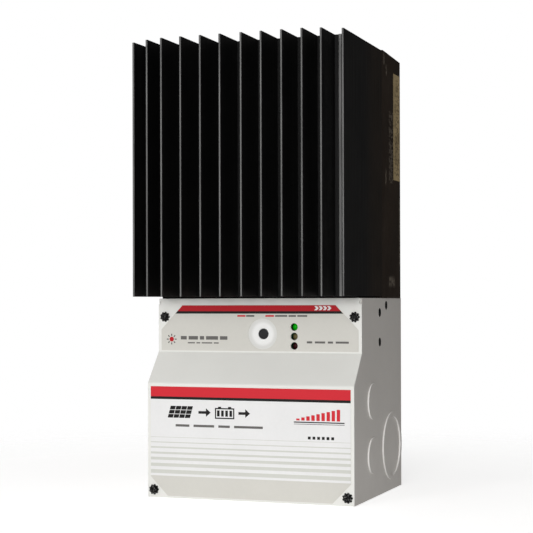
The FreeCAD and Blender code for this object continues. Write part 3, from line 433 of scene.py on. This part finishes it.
MATERIALS = {
    "anodised_black": anodised_black(),
    "housing_black": housing_black(),
    "box_paint": box_coat("box_paint", (0.60, 0.575, 0.545), box_mm("wiring_cover")[1][0]),
    "cover_paint": powder_coat("cover_paint", (0.715, 0.715, 0.685)),
    "film_print": printed_film("film_print", (0.585, 0.575, 0.535)),
    "label_foil": label_foil(),
    "black_steel": blackened("black_steel"),
    "zinc_steel": plated("zinc_steel", (0.62, 0.62, 0.60), 0.3),
    "board_laminate": board_laminate(),
    "terminal_plastic": moulded("terminal_plastic", (0.014, 0.014, 0.016)),
    "tinned_metal": plated("tinned_metal", (0.72, 0.72, 0.70), 0.38),
    "clamp_steel": plated("clamp_steel", (0.55, 0.55, 0.56), 0.28),
    "signal_plastic": moulded("signal_plastic", (0.016, 0.17, 0.045)),
    "earth_brass": plated("earth_brass", (0.72, 0.52, 0.22), 0.3),
    "button_black": moulded("button_black", (0.012, 0.012, 0.013), 0.5, specular=0.12),
    "slider_white": moulded("slider_white", (0.68, 0.68, 0.65), 0.35),
    "lens_green": lens("lens_green", (0.0, 0.26, 0.0015), 0.5),
    "lens_amber": lens("lens_amber", (0.155, 0.125, 0.052)),
    "lens_red": lens("lens_red", (0.042, 0.005, 0.008)),
    "pad_rubber": moulded("pad_rubber", (0.35, 0.35, 0.38), 0.7, 0.6),
    "seal_foam": moulded("seal_foam", (0.008, 0.008, 0.008), 0.85, 0.8, specular=0.1),
    "transistor_plastic": moulded("transistor_plastic", (0.02, 0.02, 0.022), 0.55),
    "capacitor_can": moulded("capacitor_can", (0.02, 0.022, 0.035), 0.3),
    "inductor_core": wound_copper("inductor_core"),
}


# ================================================================ finish on the CAD nodes

def smooth_group():
    """A node group that shades smooth across every edge flatter than SHARP."""
    group = bpy.data.node_groups.new("smooth_by_angle", "GeometryNodeTree")
    group.interface.new_socket("Geometry", in_out="INPUT", socket_type="NodeSocketGeometry")
    group.interface.new_socket("Geometry", in_out="OUTPUT", socket_type="NodeSocketGeometry")
    start = group.nodes.new("NodeGroupInput")
    end = group.nodes.new("NodeGroupOutput")
    faces = group.nodes.new("GeometryNodeSetShadeSmooth")
    faces.domain = "FACE"
    edges = group.nodes.new("GeometryNodeSetShadeSmooth")
    edges.domain = "EDGE"
    edges.inputs["Shade Smooth"].default_value = False
    angle = group.nodes.new("GeometryNodeInputMeshEdgeAngle")
    compare = group.nodes.new("FunctionNodeCompare")
    compare.operation = "GREATER_THAN"
    compare.inputs[1].default_value = SHARP
    group.links.new(start.outputs[0], faces.inputs["Geometry"])
    group.links.new(faces.outputs["Geometry"], edges.inputs["Geometry"])
    group.links.new(angle.outputs["Unsigned Angle"], compare.inputs[0])
    group.links.new(compare.outputs[0], edges.inputs["Selection"])
    group.links.new(edges.outputs["Geometry"], end.inputs[0])
    return group


SMOOTH = smooth_group()


def smooth(thing):
    """Smooth shading between sharp edges."""
    thing.modifiers.new("smooth", "NODES").node_group = SMOOTH


def soften(thing, width_mm):
    """Small radii on the edges that a press, mould or die leaves rounded."""
    thing.modifiers.new("weld", "WELD").merge_threshold = 1e-6
    planar = thing.modifiers.new("planar", "DECIMATE")
    planar.decimate_type = "DISSOLVE"
    planar.angle_limit = math.radians(0.5)
    bevel = thing.modifiers.new("bevel", "BEVEL")
    bevel.width = width_mm * MM
    bevel.segments = 2
    bevel.limit_method = "ANGLE"
    bevel.angle_limit = SHARP
    smooth(thing)
    weighted = thing.modifiers.new("weighted", "WEIGHTED_NORMAL")
    weighted.keep_sharp = True


EDGE_RADII = {
    "wiring_box": 0.3, "wiring_cover": 0.22, "rear_housing": 0.5, "heatsink": 0.16,
    "heatsink_top_plate": 0.2, "heatsink_seal": 0.2, "heatsink_base_plate": 0.2,
    "terminal_lugs": 0.35, "terminal_base": 0.25,
    "network_jack": 0.25, "meter_jack": 0.25, "sense_terminals": 0.2, "bus_terminals": 0.2,
    "cover_screws": 0.14, "lock_washers": 0.08, "push_button": 0.35, "button_switch": 0.2,
    "setting_switch_body": 0.15, "light_spacer": 0.25, "earth_lug": 0.4, "earth_screw": 0.2,
    "cover_nuts": 0.2, "box_screws": 0.3, "board_screws": 0.3, "board_brackets": 0.2,
    "main_board": 0.1, "housing_screws": 0.3, "end_plate_screws": 0.2, "signal_screws": 0.12,
    "transistor_bars": 0.2, "power_transistors": 0.3, "filter_capacitors": 0.8, "rating_label": 0.03,
    **{f"clamp_plate_{index}": 0.2 for index in range(1, 5)},
    **{f"clamp_screw_{index}": 0.3 for index in range(1, 5)},
    **{f"setting_slider_{index}": 0.12 for index in range(1, 9)},
}


def finish_cad_nodes():
    """Give every CAD node its slot's material, and its edges their radii."""
    slots = {row["node"]: row["material_slot"] for row in frame["record"]["subparts"]}
    for name, thing in NODES.items():
        thing.data.materials.clear()
        thing.data.materials.append(MATERIALS[slots[name]].material)
        if name in EDGE_RADII:
            soften(thing, EDGE_RADII[name])
        else:
            smooth(thing)


finish_cad_nodes()


# ================================================================ meshes for the added pieces

class Shape:
    """A mesh in millimetres, filled by simple calls and made into one piece at the end."""

    def __init__(self):
        self.mesh = bmesh.new()

    def prism(self, outline, low, high):
        """An outline of (x, z) points, made solid between two levels of y."""
        ends = [[self.mesh.verts.new(Vector((x, level, z)) * MM) for x, z in outline]
                for level in (low, high)]
        self.mesh.faces.new(ends[0])
        self.mesh.faces.new(list(reversed(ends[1])))
        count = len(outline)
        for index in range(count):
            after = (index + 1) % count
            self.mesh.faces.new((ends[0][index], ends[1][index], ends[1][after], ends[0][after]))

    def block(self, x, y, z):
        self.prism(box_outline(*x, *z), *y)

    def turned(self, centre, profile, sides):
        """A ring or dome about the Y axis from (radius, y) points, on centre (x, z)."""
        rings = []
        for radius, level in profile:
            if radius == 0:
                rings.append([self.mesh.verts.new(Vector((centre[0], level, centre[1])) * MM)])
                continue
            ring = [(centre[0] + radius * math.cos(turn), level, centre[1] + radius * math.sin(turn))
                    for turn in (math.tau * side / sides for side in range(sides))]
            rings.append([self.mesh.verts.new(Vector(point) * MM) for point in ring])
        for one, two in zip(rings, rings[1:]):
            for side in range(sides):
                corners = [one[side % len(one)], one[(side + 1) % len(one)],
                           two[(side + 1) % len(two)], two[side % len(two)]]
                self.mesh.faces.new(list(dict.fromkeys(corners)))

    def piece(self, name, shader, body, slot, radius_mm=0.0):
        """Close the mesh as one object that rides on a body."""
        bmesh.ops.recalc_face_normals(self.mesh, faces=self.mesh.faces)
        data = bpy.data.meshes.new(name)
        self.mesh.to_mesh(data)
        self.mesh.free()
        data.materials.append(shader.material)
        thing = bpy.data.objects.new(name, data)
        bpy.context.scene.collection.objects.link(thing)
        if radius_mm:
            bevel = thing.modifiers.new("bevel", "BEVEL")
            bevel.width = radius_mm * MM
            bevel.segments = 2
            bevel.angle_limit = SHARP
        smooth(thing)
        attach(thing, body)


def box_outline(low_x, high_x, low_z, high_z):
    return [(low_x, low_z), (high_x, low_z), (high_x, high_z), (low_x, high_z)]


def round_outline(x, z, radius, sides=32):
    angles = [math.tau * side / sides for side in range(sides)]
    return [(x + radius * math.cos(a), z + radius * math.sin(a)) for a in angles]


def ray_outline(x, z, inner, outer, width, turn):
    """A short bar that points away from (x, z)."""
    along = Vector((math.cos(turn), math.sin(turn)))
    across = Vector((-along.y, along.x)) * width / 2
    centre = Vector((x, z))
    corners = (centre + along * inner - across, centre + along * outer - across,
               centre + along * outer + across, centre + along * inner + across)
    return [tuple(corner) for corner in corners]


# ================================================================ printed films on the cover

INK = 0.04
SLANT = 0.28
UPPER_LOW, UPPER_HIGH = box_mm("upper_overlay")
LOWER_LOW, LOWER_HIGH = box_mm("lower_overlay")
UPPER_FACE = UPPER_LOW[1]
LOWER_FACE = LOWER_LOW[1]

# A darker copy of the red ink with the heatsink's shade painted in; it prints the top red bar and the sun
# mark's disc.
print_red_shaded = printed_film("print_red_shaded", (0.42, 0.014, 0.021))
print_bright_red = printed_film("print_bright_red", (0.58, 0.026, 0.038))
print_black = printed_film("print_black", (0.014, 0.013, 0.013))
print_white = printed_film("print_white", (0.735, 0.735, 0.735))
print_grey = printed_film("print_grey", (0.575, 0.58, 0.54))
print_dim = printed_film("print_dim", (0.13, 0.125, 0.12))


def ink(name, outlines, face, layer, shader):
    """Flat print on a cover face, as plates one ink layer thick."""
    shape = Shape()
    for outline in outlines:
        shape.prism(outline, face - INK * (layer + 1), face - INK * layer)
    shape.piece(name, shader, "cover", "film_print")


def slanted(low_x, high_x, low_z, high_z):
    shift = SLANT * (high_z - low_z)
    return [(low_x, low_z), (high_x, low_z), (high_x + shift, high_z), (low_x + shift, high_z)]


def dashes(left, low, high, lengths, gap):
    """A row of plain bars where a line of words would be."""
    bars = []
    for length in lengths:
        bars.append(box_outline(left, left + length, low, high))
        left += length + gap
    return bars


def sun(x, z, radius):
    """A disc with eight rays: the disc's outline, and the rays' outlines."""
    rays = [ray_outline(x, z, radius * 0.62, radius, radius * 0.17, math.tau * k / 8) for k in range(8)]
    return round_outline(x, z, radius * 0.45), rays


def panel_sign(left, low, high, width):
    """A solar panel as a slanted grid of cells."""
    columns, rows, gap = 4, 3, 0.35
    cells = []
    cell = (width - gap * (columns - 1)) / columns
    tall = (high - low - gap * (rows - 1)) / rows
    for column in range(columns):
        for row in range(rows):
            bottom = low + row * (tall + gap)
            start = left + column * (cell + gap) + SLANT * (bottom - low)
            cells.append(slanted(start, start + cell, bottom, bottom + tall))
    return cells


def arrow_sign(left, right):
    """A plain arrow on the row of signs."""
    z, thick, head, wing = 55.4, 0.85, 3.2, 2.72
    middle = right - head
    return [[(left, z - thick), (middle, z - thick), (middle, z - wing), (right, z),
             (middle, z + wing), (middle, z + thick), (left, z + thick)]]


def battery_sign(left, right, low, high):
    """A battery as a frame with two terminal posts and four charge bars."""
    line = 0.8
    post = (right - left) * 0.16
    outlines = [box_outline(left, right, low, low + line), box_outline(left, right, high - line, high),
                box_outline(left, left + line, low + line, high - line),
                box_outline(right - line, right, low + line, high - line),
                box_outline(left + post, left + 2 * post, high, high + line),
                box_outline(right - 2 * post, right - post, high, high + line)]
    inside = right - left - 2 * line
    for bar in range(4):
        start = left + line + inside * (bar + 0.22) / 4.1
        outlines.append(box_outline(start, start + inside * 0.15, low + 1.9 * line, high - 1.9 * line))
    return outlines


FILM_TOP = (52.5, 123.7)
FILM_SHOULDER = (67.4, 107.9)
FILM_MARGIN = 0.25
CAPTION = (116.2, 117.3)


def film_edge(z):
    """Half the width of the print between the upper film's slanted corners."""
    slope = (FILM_SHOULDER[0] - FILM_TOP[0]) / (FILM_TOP[1] - FILM_SHOULDER[1])
    return FILM_TOP[0] + slope * (FILM_TOP[1] - z) - FILM_MARGIN


def chevron(x):
    low, middle, high = 120.4, 121.7, 123.0
    return [(x, low), (x + 1.7, low), (x + 2.9, middle), (x + 1.7, high), (x, high), (x + 1.2, middle)]


def print_upper_film():
    """Red bar, black stripe, a small sun mark and plain bars where there would be words."""
    # The top red bar uses the darker red: painted shade from the heatsink's overhang.
    for name, low, high, shader in (("upper_red_bar", 119.8, 123.55, print_red_shaded),
                                    ("upper_black_stripe", 118.2, 119.8, print_black)):
        wide, narrow = film_edge(low), film_edge(high)
        ink(name, [[(-wide, low), (wide, low), (narrow, high), (-narrow, high)]], UPPER_FACE, 0, shader)
    chevrons = [chevron(x) for x in (38.4, 41.2, 44.0, 46.8)]
    ink("upper_white_chevrons", chevrons, UPPER_FACE, 1, print_white)
    disc, rays = sun(-60.1, 101.5, 3.5)
    ink("sun_mark_disc", [disc], UPPER_FACE, 0, print_red_shaded)
    ink("sun_mark_rays", rays, UPPER_FACE, 0, print_black)
    name_bars = dashes(-53.6, 101.3, 103.6, (4.2, 6.6, 3.0, 8.4, 5.2), 1.35)
    small_bars = dashes(-48.6, 98.8, 99.6, (5.0, 2.6, 7.4, 3.4), 1.1)
    ink("upper_left_bars", name_bars + small_bars, UPPER_FACE, 0, print_dim)
    ink("upper_right_bars", dashes(33.3, 99.4, 100.7, (3.6, 6.8, 3.4, 8.6), 1.8), UPPER_FACE, 0, print_dim)
    red_bars = dashes(-13.9, *CAPTION, (5.6,), 0) + dashes(5.4, *CAPTION, (5.8,), 0)
    ink("caption_red_bars", red_bars, UPPER_FACE, 0, print_bright_red)
    grey_bars = dashes(-7.8, *CAPTION, (5.6,), 0) + dashes(12.0, *CAPTION, (8.2, 5.0, 6.6), 0.9)
    ink("caption_grey_bars", grey_bars, UPPER_FACE, 0, print_dim)


FIELD_LOW, STRIPE_LOW, BAR_LOW = 14.2, 63.4, 65.1
STRIPES = [(16.9, 2.4), (21.2, 2.1), (25.2, 1.8), (28.8, 1.3), (32.4, 1.0), (35.7, 0.6), (39.0, 0.3)]


def print_lower_film():
    """Red bar, black stripe, white field with thinning stripes, and signs from panel to battery."""
    half = LOWER_HIGH[0] - 0.05
    top = LOWER_HIGH[2] - 0.05
    ink("lower_white_field", [box_outline(-half, half, FIELD_LOW, STRIPE_LOW)], LOWER_FACE, 0, print_white)
    ink("lower_black_stripe", [box_outline(-half, half, STRIPE_LOW, BAR_LOW)], LOWER_FACE, 0, print_black)
    ink("lower_red_bar", [box_outline(-half, half, BAR_LOW, top)], LOWER_FACE, 0, print_bright_red)
    ink("lower_grey_stripes", [box_outline(-half, half, z - t / 2, z + t / 2) for z, t in STRIPES],
        LOWER_FACE, 1, print_grey)
    signs = panel_sign(-55.4, 51.6, 59.2, 15.5) + arrow_sign(-34.0, -25.6)
    signs += battery_sign(-22.6, -9.4, 51.6, 58.5) + arrow_sign(-6.6, 1.2)
    ink("flow_signs", signs, LOWER_FACE, 1, print_black)
    ink("subtitle_bars", dashes(-49.9, 46.0, 47.5, (9.6, 14.2, 7.8, 19.4), 2.9), LOWER_FACE, 1, print_dim)
    steps = [box_outline(32.0 + 3.3 * k, 34.2 + 3.3 * k, 52.0, 53.2 + 0.75 * k) for k in range(9)]
    ink("level_bars", steps, LOWER_FACE, 1, print_bright_red)
    ink("level_base", [box_outline(30.4, 63.4, 50.6, 51.3), box_outline(30.4, 63.4, 49.6, 49.9)],
        LOWER_FACE, 1, print_black)
    ink("code_squares", dashes(39.6, 40.4, 42.2, (1.8,) * 6, 1.25), LOWER_FACE, 1, print_black)


def print_button_dish():
    """The white print in the button's dish."""
    low, high = box_mm("push_button")
    centre = ((low[0] + high[0]) / 2, (low[2] + high[2]) / 2)
    cover_face = UPPER_FACE + 0.2
    skin, gap = 0.03, 0.005
    rim, flat, hole, depth = 9.65, 5.5, 3.5, 1.6
    floor = cover_face + depth
    shape = Shape()
    shape.turned(centre, [(rim, cover_face - skin), (flat, floor - skin), (hole, floor - skin),
                          (hole, floor - gap), (flat, floor - gap), (rim, cover_face - gap),
                          (rim, cover_face - skin)], 72)
    shape.piece("button_dish_print", dish_white(centre, 6.0, 8.6), "cover", "film_print")


print_upper_film()
print_lower_film()
print_button_dish()


# ================================================================ components on the circuit board

BOARD_LOW, BOARD_HIGH = box_mm("main_board")
BOARD_FACE = BOARD_LOW[1]
CLEARANCE = 1.2
SCREWS_X, SCREWS_Z, SCREW_CLEAR = 54, (86, 119), 4.5
GRID = 1.27
LEG, FOOT = 0.16, 0.8
OCCUPANTS = ("network_jack", "meter_jack", "sense_terminals", "bus_terminals", "terminal_base",
             "setting_switch_body", "button_switch", "light_spacer")

chip_epoxy = moulded("chip_epoxy", (0.012, 0.012, 0.013), 0.5)
ceramic = moulded("ceramic", (0.30, 0.19, 0.10), 0.4)
resistor_black = moulded("resistor_black", (0.018, 0.018, 0.022), 0.35)
solder = plated("solder", (0.70, 0.70, 0.69), 0.3)
can_metal = plated("can_metal", (0.66, 0.66, 0.65), 0.3)
legend_white = printed_film("legend_white", (0.72, 0.73, 0.70))
gold_pad = plated("gold_pad", (0.80, 0.58, 0.26), 0.3)


class Board:
    """Keeps what is already on the board's front and collects the small parts by material."""

    def __init__(self):
        self.taken = []
        for node in OCCUPANTS:
            low, high = box_mm(node)
            self.taken.append((low[0], high[0], low[2], high[2]))
        self.shapes = {}
        self.draw = random.Random(11)

    def shape(self, name):
        return self.shapes.setdefault(name, Shape())

    def free(self, x, z, half_x, half_z):
        inside = (abs(x) + half_x < BOARD_HIGH[0] - 1.0 and z - half_z > BOARD_LOW[2] + 1.5)
        screws = all(math.hypot(abs(x) - SCREWS_X, z - at) > half_x + SCREW_CLEAR for at in SCREWS_Z)
        return inside and screws and all(
            x + half_x + CLEARANCE < low_x or x - half_x - CLEARANCE > high_x
            or z + half_z + CLEARANCE < low_z or z - half_z - CLEARANCE > high_z
            for low_x, high_x, low_z, high_z in self.taken)

    def take(self, x, z, half_x, half_z):
        self.taken.append((x - half_x, x + half_x, z - half_z, z + half_z))

    def frame_print(self, x, z, half_x, half_z, line=0.18):
        """A thin white outline round a component."""
        face = (BOARD_FACE - 0.03, BOARD_FACE)
        shape = self.shape("board_legend")
        for low, high in ((-half_z, -half_z + line), (half_z - line, half_z)):
            shape.block((x - half_x, x + half_x), face, (z + low, z + high))
        for low, high in ((-half_x, -half_x + line), (half_x - line, half_x)):
            shape.block((x + low, x + high), face, (z - half_z + line, z + half_z - line))

    def chip(self, x, z, width, height, thick, pitch, all_sides=False):
        """A flat package with gull-wing legs on two sides, or on all four."""
        top = BOARD_FACE - thick
        body = self.shape("board_chips")
        body.block((x - width / 2, x + width / 2), (top, BOARD_FACE - 0.15), (z - height / 2, z + height / 2))
        dot = round_outline(x - width / 2 + 1.0, z + height / 2 - 1.0, 0.3, 16)
        self.shape("board_legend").prism(dot, top - 0.02, top)
        legs = self.shape("board_leads")
        half_leg = pitch * 0.28
        levels = ((FOOT, (BOARD_FACE - LEG, BOARD_FACE)),
                  (LEG, (BOARD_FACE - thick * 0.45, BOARD_FACE - LEG)))
        across = int((width - 1.0) / pitch)
        along = int((height - 1.0) / pitch)
        for side in (-1, 1):
            for step in range(along + 1):
                at = z + (step - along / 2) * pitch
                for reach, level in levels:
                    span = sorted((x + side * width / 2, x + side * (width / 2 + reach)))
                    legs.block(span, level, (at - half_leg, at + half_leg))
            for step in range(across + 1 if all_sides else 0):
                at = x + (step - across / 2) * pitch
                for reach, level in levels:
                    span = sorted((z + side * height / 2, z + side * (height / 2 + reach)))
                    legs.block((at - half_leg, at + half_leg), level, span)
        self.take(x, z, width / 2 + FOOT, height / 2 + (FOOT if all_sides else 0))

    def can(self, x, z, radius, tall):
        """A small electrolytic capacitor on a square foot."""
        foot = self.shape("board_chips")
        half = radius + 0.25
        chamfer = radius * 0.4
        foot.prism([(x - half, z - half), (x + half, z - half), (x + half, z + half - chamfer),
                    (x + half - chamfer, z + half), (x - half + chamfer, z + half),
                    (x - half, z + half - chamfer)], BOARD_FACE - 1.0, BOARD_FACE)
        top = BOARD_FACE - tall
        self.shape("board_cans").turned((x, z), [(0, BOARD_FACE - 0.9), (radius, BOARD_FACE - 0.9),
                                                 (radius, top + 0.4), (radius - 0.15, top + 0.1),
                                                 (radius - 0.5, top), (0, top)], 40)
        self.take(x, z, half, half)

    def small_part(self, x, z, upright, kind):
        """A two-ended chip resistor or capacitor with its solder."""
        length, width, thick = 2.0, 1.25, 0.6
        half_x, half_z = (width / 2, length / 2) if upright else (length / 2, width / 2)
        self.shape(kind).block((x - half_x, x + half_x), (BOARD_FACE - thick, BOARD_FACE - 0.05),
                               (z - half_z, z + half_z))
        ends = self.shape("board_leads")
        for side in (-1, 1):
            if upright:
                low, high = sorted((z + side * (half_z - 0.35), z + side * (half_z + 0.3)))
                ends.block((x - half_x - 0.05, x + half_x + 0.05), (BOARD_FACE - thick - 0.04, BOARD_FACE),
                           (low, high))
            else:
                low, high = sorted((x + side * (half_x - 0.35), x + side * (half_x + 0.3)))
                ends.block((low, high), (BOARD_FACE - thick - 0.04, BOARD_FACE),
                           (z - half_z - 0.05, z + half_z + 0.05))
        self.take(x, z, half_x + 0.3, half_z + 0.3)

    def test_point(self, x, z):
        self.shape("board_pads").turned((x, z), [(0.9, BOARD_FACE), (0.9, BOARD_FACE - 0.06),
                                                 (0.45, BOARD_FACE - 0.06), (0.45, BOARD_FACE)], 24)
        self.take(x, z, 0.9, 0.9)

    def scatter(self, count, low, high):
        """Small parts on a grid, between two corners (x, z), wherever the board is free."""
        placed = 0
        for _ in range(count * 12):
            if placed == count:
                break
            x = round(self.draw.uniform(low[0], high[0]) / GRID) * GRID
            z = round(self.draw.uniform(low[1], high[1]) / GRID) * GRID
            upright = self.draw.random() < 0.5
            roll = self.draw.random()
            if not self.free(x, z, 1.0, 1.0):
                continue
            if roll < 0.12:
                self.test_point(x, z)
            else:
                self.small_part(x, z, upright, "board_resistors" if roll < 0.55 else "board_ceramics")
            placed += 1

    def finish(self):
        """Make one piece of each kind of part, with its edge radius."""
        looks = {"board_chips": (chip_epoxy, "transistor_plastic", 0.12),
                 "board_leads": (solder, "zinc_steel", 0), "board_cans": (can_metal, "zinc_steel", 0),
                 "board_legend": (legend_white, "film_print", 0),
                 "board_resistors": (resistor_black, "transistor_plastic", 0.06),
                 "board_ceramics": (ceramic, "transistor_plastic", 0.06),
                 "board_pads": (gold_pad, "earth_brass", 0)}
        for name, shape in self.shapes.items():
            shader, slot, radius = looks[name]
            shape.piece(name, shader, "controller", slot, radius)


CHIPS = [(-27.0, 92.5, 5.0, 10.0, 1.7), (14.0, 92.0, 4.0, 5.0, 1.6), (40.0, 104.0, 5.0, 9.0, 1.7),
         (42.0, 88.0, 7.5, 10.4, 2.3), (-43.0, 92.5, 9.5, 7.0, 2.4)]
CANS = [(33.0, 75.0, 3.2, 6.2), (41.0, 75.0, 3.2, 6.2), (49.0, 75.0, 3.2, 6.2),
        (-14.0, 76.0, 2.5, 5.4), (-6.5, 76.0, 2.5, 5.4), (-14.0, 116.0, 3.2, 6.0)]
OUTLINED = [(-6.5, 92.0, 8.0, 8.0), (42.0, 88.0, 5.4, 6.4), (40.0, 104.0, 4.2, 5.6),
            (-35.0, 109.0, 13.0, 7.2), (-47.0, 73.0, 10.8, 5.8)]


def populate_board():
    """A processor, small chips, cans, white outlines, and small parts in what room is left."""
    board = Board()
    board.chip(-6.5, 92.0, 12.0, 12.0, 1.5, 0.8, all_sides=True)
    for chip in CHIPS:
        board.chip(*chip, GRID)
    for can in CANS:
        board.can(*can)
    for outlined in OUTLINED:
        board.frame_print(*outlined)
    board.scatter(110, (-56, 69), (56, 126))
    board.scatter(16, (-56, 42), (56, 68))
    board.finish()


populate_board()


# ================================================================ stage, light and camera

def build_floor():
    """A pale floor that fades into the white round it."""
    shape = bmesh.new()
    bmesh.ops.create_grid(shape, x_segments=1, y_segments=1, size=3.0)
    mesh = bpy.data.meshes.new("floor")
    shape.to_mesh(mesh)
    shape.free()
    floor = bpy.data.objects.new("floor", mesh)
    bpy.context.scene.collection.objects.link(floor)
    shader = Shader("floor_white", roughness=0.9, specular=0.1)
    shader.colour(shader.mix(shader.tone(60), (0.86, 0.86, 0.86), (0.88, 0.88, 0.88)))
    shader.surface.inputs["Emission Color"].default_value = (1.0, 1.0, 1.0, 1.0)
    seen = shader.add("ShaderNodeLightPath").outputs["Is Camera Ray"]
    shader.feed(shader.surface.inputs["Emission Strength"], shader.remap(seen, 0.0, 1.0, 0.12, 0.62))
    length = shader.add("ShaderNodeVectorMath", operation="LENGTH")
    shader.feed(length.inputs[0], shader.place)
    fade = shader.step(length.outputs["Value"], 0.14, 0.55)
    shader.feed(shader.surface.inputs["Alpha"], shader.other(fade))
    mesh.materials.append(shader.material)


def build_world():
    """White to the eye; as a light, bright to the front and left, dim behind and to the right."""
    world = bpy.data.worlds.new("studio")
    bpy.context.scene.world = world
    world.use_nodes = True
    tree = world.node_tree
    tree.nodes.clear()
    out = tree.nodes.new("ShaderNodeOutputWorld")
    shown = tree.nodes.new("ShaderNodeBackground")
    shown.inputs["Color"].default_value = (1, 1, 1, 1)
    lit = tree.nodes.new("ShaderNodeBackground")
    lit.inputs["Color"].default_value = (1.0, 0.985, 0.965, 1)
    path = tree.nodes.new("ShaderNodeLightPath")
    mix = tree.nodes.new("ShaderNodeMixShader")
    where = tree.nodes.new("ShaderNodeTexCoord")
    towards = tree.nodes.new("ShaderNodeVectorMath")
    towards.operation = "DOT_PRODUCT"
    towards.inputs[1].default_value = (-0.5, -0.82, 0.28)
    level = tree.nodes.new("ShaderNodeMapRange")
    level.inputs["From Min"].default_value = -0.6
    level.inputs["From Max"].default_value = 1.0
    level.inputs["To Min"].default_value = 0.06
    level.inputs["To Max"].default_value = 0.55
    tree.links.new(where.outputs["Generated"], towards.inputs[0])
    tree.links.new(towards.outputs["Value"], level.inputs["Value"])
    tree.links.new(level.outputs[0], lit.inputs["Strength"])
    tree.links.new(path.outputs["Is Camera Ray"], mix.inputs[0])
    tree.links.new(lit.outputs[0], mix.inputs[1])
    tree.links.new(shown.outputs[0], mix.inputs[2])
    tree.links.new(mix.outputs[0], out.inputs[0])


LIGHTS = [("key_left", (-0.95, -1.9, 0.42), (0, 0, 0.14), 1.2, 7.7),
          ("key_small", (-0.75, -1.85, 0.33), (0, 0, 0.13), 0.16, 4.7),
          ("key_right", (0.42, -2.15, 0.45), (0, 0, 0.14), 1.0, 19.2),
          ("fill_right", (1.7, -0.5, 0.35), (0, 0, 0.1), 1.2, 4.0)]


def soft_light(name, place, aim, size, power):
    """A square area light of so many metres and watts, aimed at a point."""
    data = bpy.data.lights.new(name, "AREA")
    data.shape = "SQUARE"
    data.size = size
    data.energy = power
    thing = bpy.data.objects.new(name, data)
    bpy.context.scene.collection.objects.link(thing)
    thing.location = place
    thing.rotation_mode = "QUATERNION"
    thing.rotation_quaternion = (Vector(aim) - Vector(place)).to_track_quat("-Z", "Y")


def build_camera():
    """A long lens, level, from the right at the height of the wiring box's top."""
    yaw, pitch, roll = (math.radians(a) for a in (19.92, 0.27, -0.15))
    distance, right_shift, up_shift = 0.9411, -0.00357, 0.01419
    aim = Vector((0.0, 0.001, 0.145))
    forward = Vector((-math.sin(yaw) * math.cos(pitch), math.cos(yaw) * math.cos(pitch), math.sin(pitch)))
    right = Vector((math.cos(yaw), math.sin(yaw), 0.0))
    up = right.cross(forward)
    data = bpy.data.cameras.new("camera")
    data.sensor_width = 36.0
    data.lens = 96.64
    data.shift_x = -0.0188
    data.shift_y = 0.0518
    data.clip_start = 0.05
    camera = bpy.data.objects.new("camera", data)
    bpy.context.scene.collection.objects.link(camera)
    camera.location = aim - distance * forward - right_shift * right - up_shift * up
    camera.rotation_mode = "QUATERNION"
    turn = Matrix((right, up, -forward)).transposed().to_quaternion()
    camera.rotation_quaternion = turn @ Quaternion((0, 0, 1), roll)
    bpy.context.scene.camera = camera


build_floor()
build_world()
for light in LIGHTS:
    soft_light(*light)
build_camera()
bpy.context.scene.view_settings.view_transform = "Standard"
